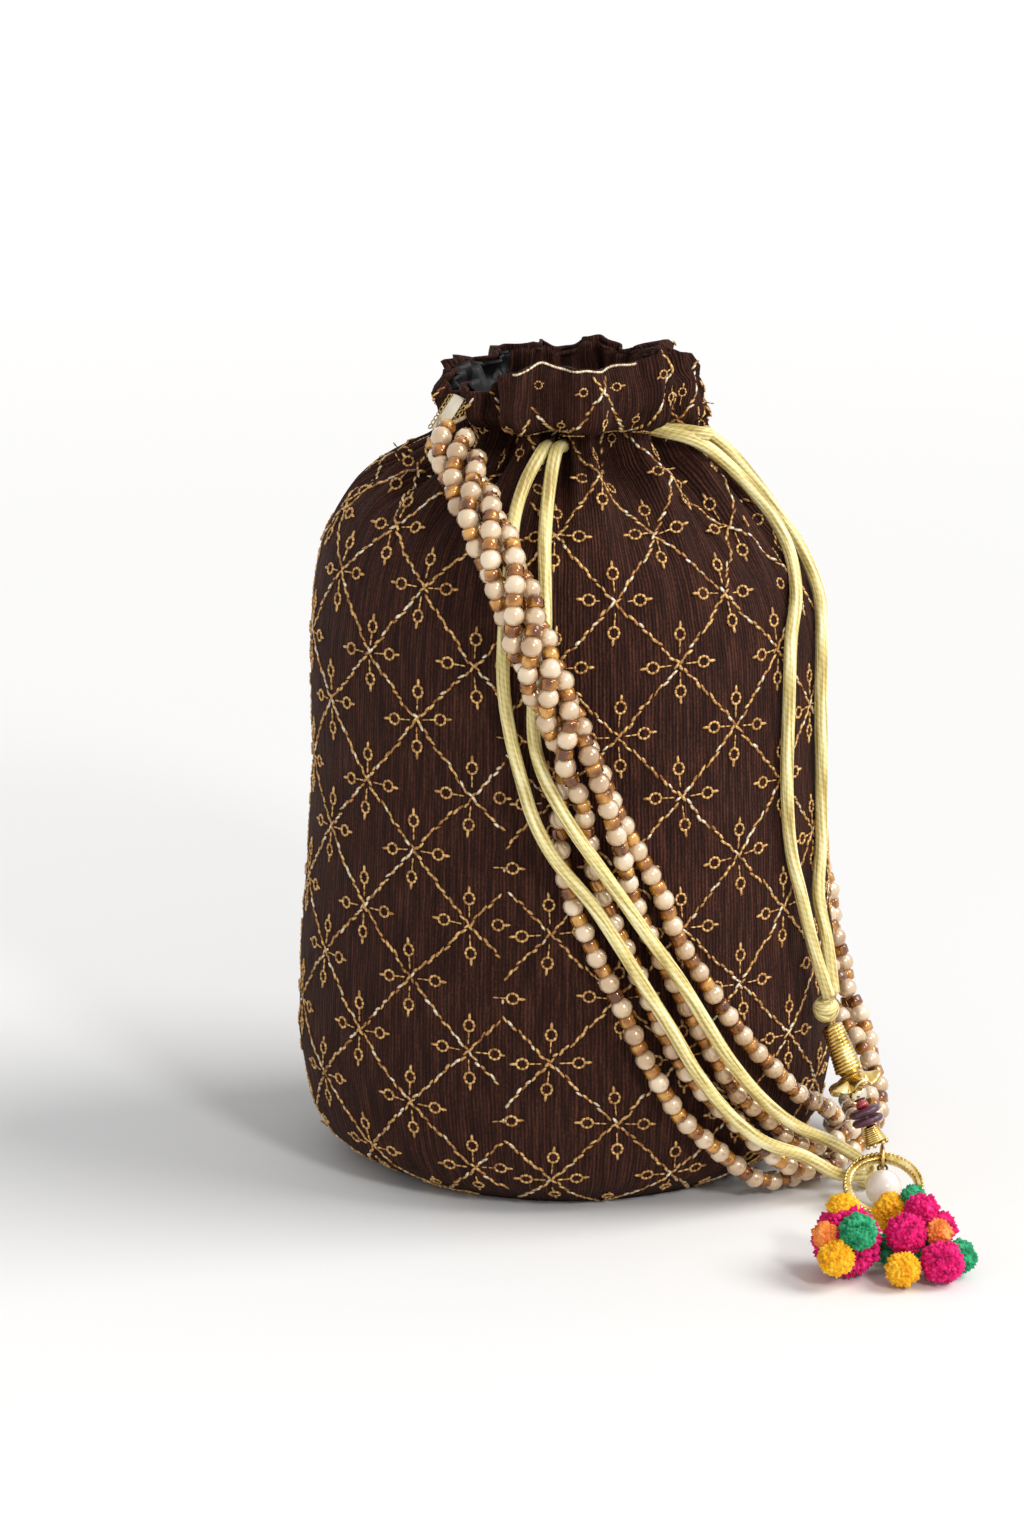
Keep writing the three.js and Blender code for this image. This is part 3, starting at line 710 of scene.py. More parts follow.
front_run_left = [
    (-10, 182, 4.2),
    (-13, 177.5, 2.6),
    (-14, 171, on_cloth),
    (-13.5, 160, on_cloth),
    (-14, 148, on_cloth),
    (-14, 134, on_cloth),
    (-12.5, 122, on_cloth),
    (-10, 112, 3.5),
    (-7, 103, over_beads),
    (-3, 94, over_beads),
    (4, 83, over_beads),
    (9.5, 72, over_beads),
    (14.5, 61, over_beads),
    (19.5, 50, over_beads),
    (24, 40, over_beads),
    (30.5, 30, over_beads),
    (39.5, 20.5, 9),
]
front_run_right = [
    (-5, 182, 4.2),
    (-6, 176, on_cloth),
    (-6, 166, on_cloth),
    (-5.5, 156, on_cloth),
    (-5.5, 145, on_cloth),
    (-7.5, 133, on_cloth),
    (-7.5, 121, on_cloth),
    (-5.5, 114, 5.2),
    (-2.5, 107.5, 8.8),
    (1, 100.5, 9.8),
    (4.5, 94, 9.6),
    (9, 85.5, 8.8),
    (14.5, 75, over_beads),
    (20.5, 64, over_beads),
    (26, 52, over_beads),
    (31.5, 41, over_beads),
    (38.5, 31, over_beads),
    (49, 21.5, over_beads),
]
front_left_beyond = [(58, -45, 13.2), (66.4, -40, 6.8)]
front_right_beyond = [(65.3, -34, 13), (71, -31, 8.4)]
right_run_left = [
    (50, 185.5, 3.6),
    (58, 182, 2.6),
    (66, 178, on_cloth),
    (72, 171.5, on_cloth),
    (75, 165, on_cloth),
    (72, 158, on_cloth),
    (63, 149, on_cloth),
    (56, 140, on_cloth),
    (54, 125, on_cloth),
    (53, 102, on_cloth),
    (54, 87, on_cloth),
    (56, 77, 2.6),
    (57.5, 63, 4.6),
]
right_run_right = [
    (56.5, 185.8, 6.2),
    (65, 185.5, 3.4),
    (73, 180.5, on_cloth),
    (79.5, 173.5, on_cloth),
    (83, 166, on_cloth),
    (83, 156, on_cloth),
    (77, 146, on_cloth),
    (71, 135, on_cloth),
    (70, 121, on_cloth),
    (70, 103, on_cloth),
    (68, 85, on_cloth),
    (64, 74, 2.6),
    (62.5, 63, 5.2),
]


def slot_exit(slot_angle, height, side):
    place = outline_point(slot_angle, neck_top)
    place.z = 0
    outward = place.normalized()
    across = Vector((-outward.y, outward.x, 0)) * side * slot_pairing
    place += outward * (1 - gather_depth) + across
    place.z = height
    return place


def to_knot(knot, last, side):
    way = last - knot
    across = way.cross(Vector((0, 0, 1))).normalized() * side * (cord_radius + clearance)
    return knot + way.normalized() * (knot_radius + 3 * clearance) + across


def channel_loop(slot_angle, height):
    points = []
    stops = 18
    for i in range(stops + 1):
        angle = slot_angle + loop_gap + (360 - 2 * loop_gap) * i / stops
        place = outline_point(angle, neck_top)
        place.z = 0
        reach = place.length - gather_depth - cloth_wall - 2 * clearance - cord_radius
        place = place.normalized() * reach
        place.z = height
        points.append(place)
    return points


def cord_piece(name, route, node):
    bm = bmesh.new()
    wrap_tube(bm, route, lambda share: cord_radius, 12)
    piece = finish_piece(name, bm, [cord_finish])
    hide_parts(node)
    return piece


def add_drawstring(name, slot_angle, height, knot, left, right):
    for side, run, word in ((-1, left, "left"), (1, right, "right")):
        points = [slot_exit(slot_angle, height, side), *run]
        points.append(to_knot(knot, run[-1], side))
        route = smooth_route(points, 1.2)
        piece = cord_piece(f"drawstring_{name}_run_{word}", route, "drawstring_" + name)
        route[0] * mm
        route_length(route) * mm
        [point * mm for point in route]
    points = [
        slot_exit(slot_angle, height, 1),
        *channel_loop(slot_angle, height),
        slot_exit(slot_angle, height, -1),
    ]
    cord_piece(f"drawstring_{name}_channel", smooth_route(points, 2.0), "drawstring_" + name)


cord_finish = satin_cord()
add_drawstring(
    "front",
    front_slot_angle,
    front_cord_height,
    front_knot,
    [*map(off_cloth, front_run_left), *map(Vector, front_left_beyond)],
    [*map(off_cloth, front_run_right), *map(Vector, front_right_beyond)],
)
add_drawstring(
    "right",
    right_slot_angle,
    right_cord_height,
    right_knot,
    [*map(off_cloth, right_run_left)],
    [*map(off_cloth, right_run_right)],
)

# Bead strands

front_bundle = [
    (-46, 182.9, 8.2),
    (-39, 180.5, 8),
    (-31, 177.5, 8),
    (-24, 172.5, 9),
    (-19, 167, over_cords),
    (-14, 160, over_cords),
    (-10, 152, over_cords),
    (-7.5, 144.5, over_cords),
    (-5, 137, bundle_on_cloth + 3),
    (-2, 128, bundle_on_cloth + 0.6),
    (1, 119, bundle_on_cloth),
]
return_on_table = [
    (69.5, -17, 8.2),
    (73.5, -10, 8),
    (76, -2, 9.5),
    (76.3, 6, 14),
    (74.8, 13, 21),
    (71.5, 21, 30),
    (68.8, 26.5, 38),
    (67.2, 30, 47),
]
return_on_bag = [
    (120, 61, bundle_on_cloth),
    (129, 78, bundle_on_cloth),
    (137, 97, bundle_on_cloth),
    (142, 117, bundle_on_cloth),
    (145, 136, bundle_on_cloth),
    (146, 149, bundle_on_cloth),
    (146, 159, bundle_on_cloth),
    (145, 168, bundle_on_cloth),
    (142, 175.5, 7.4),
    (137, 182, 7.4),
]
strand_routes = [
    (
        [
            (8, 108, 3.4),
            (13.4, 95, bead_on_cloth),
            (18.8, 83, bead_on_cloth),
            (22, 72.5, bead_on_cloth),
            (27, 62.5, bead_on_cloth),
            (32, 53, bead_on_cloth),
            (38, 43.5, bead_on_cloth),
            (45.5, 34.5, bead_on_cloth),
            (54, 26.5, bead_on_cloth),
        ],
        [(62, -29, 21.5), (66.8, -22, 15.8)],
    ),
    (
        [
            (6.6, 108, 9.2),
            (9.8, 95, 7.4),
            (12.7, 83, bead_on_cloth),
            (17, 71, bead_on_cloth),
            (21.5, 60.5, bead_on_cloth),
            (25.5, 50.5, bead_on_cloth),
            (30, 41, bead_on_cloth),
            (35, 31.5, bead_on_cloth),
            (43, 24, bead_on_cloth),
        ],
        [(54.5, -37.5, 15.2), (62.5, -29.5, 10.2)],
    ),
    (
        [
            (2, 108, 7.6),
            (4, 95, 4),
            (6.7, 83, bead_on_cloth),
            (11, 71, bead_on_cloth),
            (15, 60, bead_on_cloth),
            (18.5, 50, bead_on_cloth),
            (22.5, 40.5, bead_on_cloth),
            (28.5, 31.5, bead_on_cloth),
            (35.5, 24, bead_on_cloth),
        ],
        [(46.4, -46.4, 17), (54, -40.5, 9.4), (61.5, -33.4, 5.2)],
    ),
    (
        [
            (-2, 108, bead_on_cloth),
            (-2, 96, bead_on_cloth),
            (0.2, 83, bead_on_cloth),
            (4, 72, bead_on_cloth),
            (7.5, 63, bead_on_cloth),
            (11, 54, bead_on_cloth),
            (14, 45, bead_on_cloth),
            (18, 36, bead_on_cloth),
            (23, 27, bead_on_cloth),
            (29.5, 19.5, bead_on_cloth),
            (36.5, 13.5, bead_on_cloth),
        ],
        [(45.5, -41.5, 6.6), (52, -35.8, 3.6), (60, -28, 3.2)],
    ),
]


def beside_bundle(middle, start_turn, turns):
    points = []
    for i, point in enumerate(middle):
        along = middle[min(i + 1, len(middle) - 1)] - middle[max(i - 1, 0)]
        along.normalize()
        outward = Vector((point.x, point.y, 0)).normalized()
        across = along.cross(outward).normalized()
        outward = across.cross(along)
        turn = math.tau * (start_turn + turns * i / (len(middle) - 1))
        points.append(
            point
            + across * bundle_radius * math.cos(turn)
            + outward * bundle_radius * math.sin(turn)
        )
    return points


def pearl_template():
    bm = bmesh.new()
    bmesh.ops.create_uvsphere(bm, u_segments=10, v_segments=7, radius=pearl_radius)
    return template_of(bm)


def glass_tube_template():
    """A short ribbed tube: a ring of narrow flats with rounded ends."""
    bm = bmesh.new()
    bmesh.ops.create_cone(
        bm, cap_ends=True, segments=20, radius1=tube_diameter / 2, radius2=tube_diameter / 2, depth=2.6
    )
    rims = [e for e in bm.edges if abs(e.verts[0].co.z - e.verts[1].co.z) < 1e-6]
    bmesh.ops.bevel(
        bm, geom=rims, offset=0.32, segments=1, profile=0.5, affect="EDGES", material=-1
    )
    for vert in bm.verts:
        turn = math.atan2(vert.co.y, vert.co.x)
        vert.co.xy *= 1 + 0.07 * math.cos(10 * turn)
    return template_of(bm, 1)


def add_strand(number, on_front, on_table):
    strand = number - 1
    points = [
        *beside_bundle([off_cloth(p) for p in front_bundle], strand_turn_front - strand / 4, -bundle_turns),
        *map(off_cloth, on_front),
        *map(Vector, on_table),
        *beside_bundle(
            [*map(Vector, return_on_table), *map(off_cloth, return_on_bag)],
            strand_turn_return - strand / 4,
            return_turns,
        ),
    ]
    route = smooth_route(points, 0.5)
    length = route_length(route)
    beads = math.floor(length / bead_pitch)
    frames = frames_along(route)
    bm = bmesh.new()
    wrap_tube(bm, route[::4], lambda share: 0.5, 6, 2)
    for station in range(first_bead_station, 2 * beads + 1):
        i = round((len(route) - 1) * station / (2 * beads))
        ahead, side, up = frames[i]
        spin = Matrix.Rotation(random.uniform(0, math.tau), 4, "Z")
        pearl = station % 2 == 1
        size = random.uniform(0.97, 1.02)
        matrix = basis(route[i], side, up, ahead) @ spin @ Matrix.Scale(size, 4)
        stamp(bm, pearl_mesh if pearl else glass_tube_mesh, matrix)
    piece = finish_piece(
        f"bead_strand_{number}_beads", bm, [pearl_finish, amber_finish, thread_finish]
    )
    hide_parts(f"bead_strand_{number}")
    route[0] * mm
    [point * mm for point in route]


pearl_mesh = pearl_template()
glass_tube_mesh = glass_tube_template()
pearl_finish = pearl_coat()
amber_finish = amber_glass()
thread_finish = bead_thread()
for number, (on_front, on_table) in enumerate(strand_routes, 1):
    add_strand(number, on_front, on_table)

# Bag cloth

cloth_columns = 280
lining_columns = 168
seam_row_height = 31
width_row_height = 47
cloth_thickness = 0.8
facing_rows = 9
facing_gap_angle = 262
facing_gap_width = 52
pleat_depth = 1.35
pleat_count = 42
ruffle_swell = 3.4
rim_wave = 4.2
tab_angle = 303
tab_hollow = 1.4


def outline_radius(angle, height):
    point = outline_point(angle, height)
    return math.hypot(point.x, point.y)


def smooth_radius(angle, height):
    """The outline's reach, rounded where its rows meet."""
    reach = 2.2
    total = 0
    for offset, weight in ((-1, 1), (-0.5, 2), (0, 3), (0.5, 2), (1, 1)):
        at = min(max(height + offset * reach, 0), neck_top)
        total += weight * outline_radius(angle, at)
    return total / 9


def rim_at(angle, column):
    turn = angle % 360
    row = next(i for i, item in enumerate(ruffle) if item[0] > turn)
    low, high = ruffle[row - 1], ruffle[row]
    return mix(low[column], high[column], eased(turn, low[0], high[0]))


def gather_lag(angle):
    """How far towards the left side an angle is, from 0 to 1: folds there fade sooner."""
    return (1 - math.sin(math.radians(angle))) / 2


def gather_at(angle, height):
    end = mix(gather_end_right, gather_end_left, gather_lag(angle))
    return gather_depth * eased(height, end, neck_foot) ** 1.2


def fold_at(angle):
    return 0.5 - 0.5 * math.cos(math.radians(gather_count * (angle - gather_phase)))


def pleat_at(angle, height):
    """Finer pleats between the gathers, uneven round the neck."""
    wander = 3.4 * turned_noise(angle, 0, 19, 1, 4.1)
    uneven = 0.5 + 1.2 * abs(turned_noise(angle, height, 24, 60, 7.7))
    wave = math.sin(math.radians(pleat_count * angle) + wander)
    reach = mix(eased(height, 128, 184), eased(height, 156, 186), gather_lag(angle))
    return pleat_depth * uneven * wave * reach


body_heights = [0.0, 0.8, 2.0, 3.5, 5.5, 8, 11, 15, 20, 26, 32, 40, 48, 56, 64, 72, 80, 88, 96, 104]
body_heights += [112, 120, 128, 134, 139, 143, 146.5, 149.5, 152.5, 155.5, 158, 160.5, 163]
body_heights += [165.5, 168, 170, 172, 174, 176, 177.5, 179, 180.5, 182, 183.5, 185, 187, 189]
ruffle_steps = [0.03, 0.07, 0.13, 0.2, 0.28, 0.36, 0.44, 0.52, 0.6, 0.68, 0.76, 0.84, 0.91, 0.96, 1]
base_radii = [0, 0.35, 0.7]


def turned_noise(angle, height, grain, rise, seed):
    """Noise that closes on itself round the bag."""
    way = Vector((math.sin(math.radians(angle)), math.cos(math.radians(angle)))) * 57 / grain
    return noise.noise(Vector((way.x + seed, way.y, height / rise)))


def beside_tab(angle):
    """1 at the left tab, where the ruffle stays close to the neck, and 0 away from it."""
    return math.exp(-(((angle - tab_angle + 180) % 360 - 180) / 12) ** 2)


def crumple_at(angle, height):
    """Bulges of the cloth: slight on the body, strong in the ruffle."""
    wide = turned_noise(angle, height, 34, 40, 9.0)
    small = turned_noise(angle, height, 11, 10, 2.0)
    loose = turned_noise(angle, height, 9, 7, 5.0)
    seam = math.exp(-(((angle + 15 + 180) % 360 - 180) / 0.9) ** 2)
    near_tab = beside_tab(angle)
    swell = 0.55 - abs(turned_noise(angle, height, 17, 15, 11.0)) * 2.2
    return (
        0.5 * wide
        + 0.7 * small * eased(height, 150, 190)
        + (2.6 * loose + ruffle_swell * swell) * eased(height, 189, 197) * (1 - near_tab)
        - tab_hollow * near_tab * eased(height, 184, 189)
        - 0.45 * seam
    )


def cloth_line(angle):
    """Reach, height and gather depth of the unfolded cloth up the bag at one angle."""
    line = [(smooth_radius(angle, h), h, gather_at(angle, h)) for h in body_heights]
    neck = line[-1][0]
    for step in ruffle_steps:
        lean = rim_at(angle, 2) * step
        bulge = rim_at(angle, 3) * math.sin(math.pi * step**0.6) * (1 - beside_tab(angle))
        rim = rim_at(angle, 1) + rim_wave * turned_noise(angle, 0, 14, 1, 6.3)
        height = mix(neck_top, rim, step**1.25)
        gather = mix(gather_depth, rim_gather_depth + 1.6, step**0.7)
        line.append((neck + lean + bulge, height, gather))
    return line


def folded_line(angle, depth=0, fold=None, rim_drop=0):
    """The cloth's line moved in by a depth and by the fold at this angle."""
    line = cloth_line(angle)
    fold = fold_at(angle) if fold is None else fold
    moved = []
    for i, (out, height, gather) in enumerate(line):
        before = line[max(i - 3, 0)]
        after = line[min(i + 3, len(line) - 1)]
        run = math.hypot(after[0] - before[0], after[1] - before[1])
        outward = (after[1] - before[1]) / run
        upward = -(after[0] - before[0]) / run
        inward = depth - crumple_at(angle, height)
        folded = gather * fold - pleat_at(angle, height)
        level = height >= neck_foot
        out -= outward * inward + (folded if level else outward * folded)
        drop = rim_drop if i == len(line) - 1 else 0
        drop += upward * inward + (0 if level else upward * folded)
        moved.append((out, height - drop))
    return moved


def toward(angle):
    point = outline_point(angle, neck_foot)
    return Vector((point.x, point.y, 0)).normalized()


def cloth_column(angle, **how):
    way = toward(angle)
    line = folded_line(angle, **how)
    foot = [(line[0][0] * share, 0.0) for share in base_radii]
    points = []
    for i, (out, height) in enumerate([*foot, *line]):
        low = 0.0 if i <= len(base_radii) else max(height, 0.0)
        points.append(Vector((way.x * out, way.y * out, low)))
    return points


def width_table():
    """Distance round the bag from its front, for each column."""
    points = [outline_point(360 * k / cloth_columns, width_row_height) for k in range(cloth_columns + 1)]
    table = [0.0]
    for a, b in zip(points, points[1:]):
        table.append(table[-1] + (b - a).length)
    return table


cloth_grid = [cloth_column(360 * k / cloth_columns) for k in range(cloth_columns)]
cloth_grid.append(cloth_grid[0])
cloth_width = width_table()
cloth_rows = len(cloth_grid[0])
seam_row = len(base_radii) + body_heights.index(32)


def rise_table():
    """Distance up the unfolded cloth from one height, for each column and row."""
    table = []
    for k in range(cloth_columns + 1):
        line = cloth_line(360 * k / cloth_columns)
        line = [(line[0][0] * share, 0.0) for share in base_radii] + [(a, b) for a, b, _ in line]
        rise = [0.0]
        for a, b in zip(line, line[1:]):
            rise.append(rise[-1] + math.hypot(b[0] - a[0], b[1] - a[1]))
        table.append([value - rise[seam_row] for value in rise])
    return table


cloth_rise = rise_table()


def add_cloth():
    bm = bmesh.new()
    uv = bm.loops.layers.uv.verify()
    bmesh.ops.create_grid(
        bm, x_segments=cloth_columns, y_segments=cloth_rows - 1, size=0.5, calc_uvs=True
    )
    for face in bm.faces:
        for loop in face.loops:
            column = round(loop[uv].uv.x * cloth_columns)
            row = round(loop[uv].uv.y * (cloth_rows - 1))
            loop[uv].uv = (cloth_width[column] * mm, cloth_rise[column][row] * mm)
    for vert in bm.verts:
        column = round((vert.co.x + 0.5) * cloth_columns)
        row = round((vert.co.y + 0.5) * (cloth_rows - 1))
        vert.co = cloth_grid[column][row]
    bmesh.ops.remove_doubles(bm, verts=bm.verts, dist=1e-4)
    bmesh.ops.recalc_face_normals(bm, faces=bm.faces)
    piece = finish_piece("bag_cloth", bm, [cloth_finish])
    wall = piece.modifiers.new("wall", "SOLIDIFY")
    wall.thickness = cloth_thickness * mm
    wall.offset = -1
    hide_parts("bag_shell")
    return piece


def lining_column(angle):
    fold = 0.25 + 0.75 * fold_at(angle)
    points = cloth_column(angle, depth=2.0, fold=fold, rim_drop=1.5)
    way = toward(angle)
    for i, point in enumerate(points):
        point.z = max(point.z, 1.6)
        tuck = eased(point.z, 176, 184) * (1 - eased(point.z, 190, 197))
        if i > cloth_rows // 2:
            points[i] = point - way * 4.6 * tuck
    return points


def add_lining():
    bm = bmesh.new()
    uv = bm.loops.layers.uv.verify()
    bmesh.ops.create_grid(
        bm, x_segments=lining_columns, y_segments=cloth_rows - 1, size=0.5, calc_uvs=True
    )
    columns = [lining_column(360 * k / lining_columns) for k in range(lining_columns)]
    columns.append(columns[0])
    for face in bm.faces:
        middle = face.calc_center_median()
        turned_in = (middle.y + 0.5) * (cloth_rows - 1) > cloth_rows - facing_rows
        satin_shows = abs((middle.x + 0.5) * 360 - facing_gap_angle) < facing_gap_width
        face.material_index = 1 if turned_in and not satin_shows else 0
        for loop in face.loops:
            column = round(loop[uv].uv.x * cloth_columns)
            row = round(loop[uv].uv.y * (cloth_rows - 1))
            loop[uv].uv = (cloth_width[column] * mm, cloth_rise[column][row] * mm)
    for vert in bm.verts:
        column = round((vert.co.x + 0.5) * lining_columns)
        row = round((vert.co.y + 0.5) * (cloth_rows - 1))
        vert.co = columns[column][row]
    bmesh.ops.remove_doubles(bm, verts=bm.verts, dist=1e-4)
    bmesh.ops.recalc_face_normals(bm, faces=bm.faces)
    piece = finish_piece("lining_satin", bm, [black_satin(), cloth_finish])
    wall = piece.modifiers.new("wall", "SOLIDIFY")
    wall.thickness = 0.4 * mm
    wall.offset = -1
    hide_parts("lining")


cloth_finish = brown_cloth()
add_cloth()
add_lining()

# Embroidery: a lattice of couched metal thread with four buds at each crossing

stitch_length = 2.35
stitch_pitch = 1.6
stitch_width = 0.44
bud_reach = 6.8
bud_ring_radius = 1.25
seam_arc = -16
seam_stitch_rises = [-6, 24.5, 57, 90]
lowest_stitch = -37
rim_margin = 1.6
# Side of the seam, arc of the first column, step between columns, and for even and odd
# columns the rise of a crossing and the distance to the next one up
lattice_panels = [
    (1, -4.6, 15.75, (-22.7, 32.2), (-6.5, 32.0)),
    (-1, -24.5, -15.6, (-20, 31.4), (-4, 31.8)),
]


def part_of_table(table, value):
    """Place in a rising table, as a whole row and a share of the next."""
    row = min(max(bisect.bisect_right(table, value) - 1, 0), len(table) - 2)
    share = (value - table[row]) / max(table[row + 1] - table[row], 1e-6)
    return row + min(max(share, 0), 1)


def grid_point(column, row):
    column %= cloth_columns
    row = min(max(row, 0), cloth_rows - 1.001)
    k, j = int(column), int(row)
    low = cloth_grid[k][j].lerp(cloth_grid[k + 1][j], column - k)
    high = cloth_grid[k][j + 1].lerp(cloth_grid[k + 1][j + 1], column - k)
    return low.lerp(high, row - j)


def cloth_place(arc, rise):
    """Point on the cloth, and the directions across and out of it there."""
    column = part_of_table(cloth_width, arc % cloth_width[-1])
    row = part_of_table(cloth_rise[round(column)], rise)
    across = grid_point(column + 0.4, row) - grid_point(column - 0.4, row)
    up = grid_point(column, row + 0.3) - grid_point(column, row - 0.3)
    return grid_point(column, row), across.normalized(), across.cross(up).normalized()


def cloth_direction(arc, rise, turn):
    """Along the cloth at a turn from its across direction, with the way out of it."""
    place, across, out = cloth_place(arc, rise)
    up = out.cross(across)
    return place, (across * math.cos(turn) + up * math.sin(turn)).normalized(), out


def stitch_template(material):
    bm = bmesh.new()
    bmesh.ops.create_icosphere(bm, subdivisions=1, radius=0.5)
    return template_of(bm, material)


def lay_stitch(bm, templates, arc, rise, turn, length, width, lift=0.12):
    place, along, out = cloth_direction(arc, rise, turn)
    size = Matrix.Diagonal((width, length, width * 0.8, 1))
    matrix = basis(place + out * lift, along.cross(out), along, out) @ size
    stamp(bm, random.choice(templates), matrix)


def on_panel(side, arc, rise):
    """Whether a stitch lies on one side of the two seams, and between base and rim."""
    past_seam = side * (arc - seam_arc)
    column = part_of_table(cloth_width, arc % cloth_width[-1])
    rim = cloth_rise[round(column)][-1] - rim_margin
    return 0.5 < past_seam < cloth_width[-1] / 2 - 0.5 and lowest_stitch < rise < rim


def crossing(panel, column, row):
    side, first, step, even, odd = panel
    start, period = odd if column % 2 else even
    return first + step * column, start + period * row


def lay_line(bm, templates, side, start, end):
    """A row of overlapping stitches between two crossings, with a slight wander."""
    across, up = end[0] - start[0], end[1] - start[1]
    length = math.hypot(across, up)
    turn = math.atan2(up, across)
    count = round(length / stitch_pitch)
    seed = random.uniform(0, 50)
    for i in range(count):
        share = (i + 0.5) / count
        aside = 0.8 * noise.noise(Vector((seed, share * 4.2, 0))) + (0.16 if i % 2 else -0.16)
        arc = start[0] + across * share - math.sin(turn) * aside
        rise = start[1] + up * share + math.cos(turn) * aside
        if on_panel(side, arc, rise):
            sway = turn + random.uniform(-0.3, 0.3)
            size = stitch_length * random.uniform(0.8, 1.15)
            width = stitch_width * 2 * random.uniform(0.75, 1.1)
            lay_stitch(bm, templates, arc, rise, sway, size, width)


def add_lattice():
    templates = [stitch_template(i) for i in (0, 0, 0, 1, 2)]
    bm = bmesh.new()
    for panel in lattice_panels:
        for column in range(-2, 14):
            for row in range(-1, 8):
                here = crossing(panel, column, row)
                higher = crossing(panel, column + 1, row + column % 2)
                lower = crossing(panel, column + 1, row - 1 + column % 2)
                lay_line(bm, templates, panel[0], here, higher)
                lay_line(bm, templates, panel[0], here, lower)
    for rise in seam_stitch_rises:
        lay_stitch(bm, [templates[4]], seam_arc, rise, math.pi / 2, 1.5, 0.8)
    for i in range(46):
        arc = -22 + 1.1 * i
        column = part_of_table(cloth_width, arc % cloth_width[-1])
        lay_stitch(bm, [templates[4]], arc, cloth_rise[round(column)][-1] - 0.7, 0, 1.5, 0.7)
    finish_piece("embroidered_lattice", bm, thread_finishes)


def bud_template(material):
    """A stem, a ring of stitches and a pointed tip, along Y, round the ring's middle."""
    bm = bmesh.new()
    blob = stitch_template(material)
    pieces = [(0, -2.4, 0, 0.5, 2.0), (0, 2.2, 0, 0.85, 2.3), (0, -4.0, 0, 0.45, 1.8)]
    for i in range(8):
        turn = math.tau * i / 8
        x, y = bud_ring_radius * math.cos(turn), 1.12 * bud_ring_radius * math.sin(turn)
        pieces.append((x, y, turn, 0.78, 1.35))
    for x, y, turn, width, length in pieces:
        place = Matrix.Translation((x, y, 0)) @ Matrix.Rotation(turn, 4, "Z")
        stamp(bm, blob, place @ Matrix.Diagonal((width, length, 0.7, 1)))
    return template_of(bm)


def add_buds():
    templates = [bud_template(0), bud_template(1), bud_template(1)]
    bm = bmesh.new()
    for panel in lattice_panels:
        for column in range(-1, 14):
            for row in range(-1, 8):
                arc, rise = crossing(panel, column, row)
                for quarter in range(4):
                    turn = quarter * math.pi / 2 + random.uniform(-0.12, 0.12)
                    reach = bud_reach * random.uniform(0.93, 1.06)
                    x, y = arc + reach * math.cos(turn), rise + reach * math.sin(turn)
                    ends = [y - 3 * math.sin(turn), y + 4 * math.sin(turn)]
                    if not all(on_panel(panel[0], x, end) for end in ends):
                        continue
                    place, along, out = cloth_direction(x, y, turn)
                    size = 1 - 0.3 * eased(place.z, 176, 188)
                    matrix = basis(place + out * 0.15, along.cross(out), along, out)
                    matrix @= Matrix.Scale(size, 4)
                    stamp(bm, random.choice(templates), matrix)
    finish_piece("embroidered_buds", bm, thread_finishes)


def metal_thread(name, dark, light):
    finish = Finish(name)
    glint = finish.noise(800.0, 2.0)
    color = finish.ramp(glint, (0.35, srgb(*dark)), (0.62, srgb(*light)))
    return finish.surface(base_color=color, roughness=0.42, metallic=0.35)


thread_finishes = [
    metal_thread("gold_thread", (150, 104, 52), (222, 178, 112)),
    metal_thread("brown_gold_thread", (116, 72, 34), (188, 136, 74)),
    metal_thread("silver_cream_thread", (186, 160, 122), (240, 224, 196)),
]
add_lattice()
add_buds()

# Plain finishes on the solids that keep their own shape

brass_finish = worn_brass()
ball_finish = bright_ball()
drop_finish = white_pearl()
red_finish = red_glass()
disc_finish = dark_disc()
steel_finish = pin_steel()
satin_finish = tab_satin()
lace_finish = gold_lace()
yarn_finishes = {
    "magenta": yarn("magenta_yarn", (150, 0, 66), (226, 6, 112), (246, 60, 150)),
    "yellow": yarn("yellow_yarn", (214, 130, 8), (250, 186, 20), (255, 214, 70)),
    "green": yarn("green_yarn", (14, 96, 58), (36, 156, 104), (88, 196, 144)),
    "orange": yarn("orange_yarn", (196, 84, 30), (244, 140, 60), (252, 182, 110)),
}
for name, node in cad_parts.items():
    if name == "tassel_thread" or "pompom_thread" in name:
        node.data.materials.clear()
        node.data.materials.append(thread_finish)

# Tassel, along its thread from the hoop's hinge to the right knot

thread_way = (right_knot - hoop_hinge).normalized()
on_thread = Vector((0, 0, 1)).rotation_difference(thread_way).to_matrix().to_4x4()
on_thread.translation = hoop_hinge
sleeve_foot = 22.5
sleeve_top = 35.2
sleeve_foot_radius = 3.5
sleeve_top_radius = 2.7
sleeve_coils = 13
bell_top = 22.2
bell_foot = 18.8
bell_reach = 7.4
petal_count = 5
ball_centre = 17.1
ball_radius = 2.35
seed_bead_centre = 14
seed_bead_radius = 1.6
disc_radius = 4
disc_thickness = 1.9
disc_centres = {"upper": 12.3, "lower": 10}
cone_top = 8.7
cone_foot = 3.9
cone_top_radius = 1.7
cone_foot_radius = 3
cone_coils = 8
bail_radius = 3
bail_wire = 0.45
hoop_outer = 10.3
hoop_width = 2.8
hoop_inner = hoop_outer - hoop_width
hoop_middle = (hoop_outer + hoop_inner) / 2
hoop_thickness = 3
hoop_lean = math.radians(30)
rope_twists = 54
drop_pearl_radius = hoop_inner - 3
pin_radius = 0.3
pin_eye_radius = 1.1
pin_foot = hoop_middle + hoop_inner - 2.3
drop_pearl_place = pin_foot - pin_radius - drop_pearl_radius


def tassel_piece(node, bm, materials, body="bag"):
    piece = finish_piece(node + "_fine", bm, materials, body=body)
    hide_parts(node)
    return piece


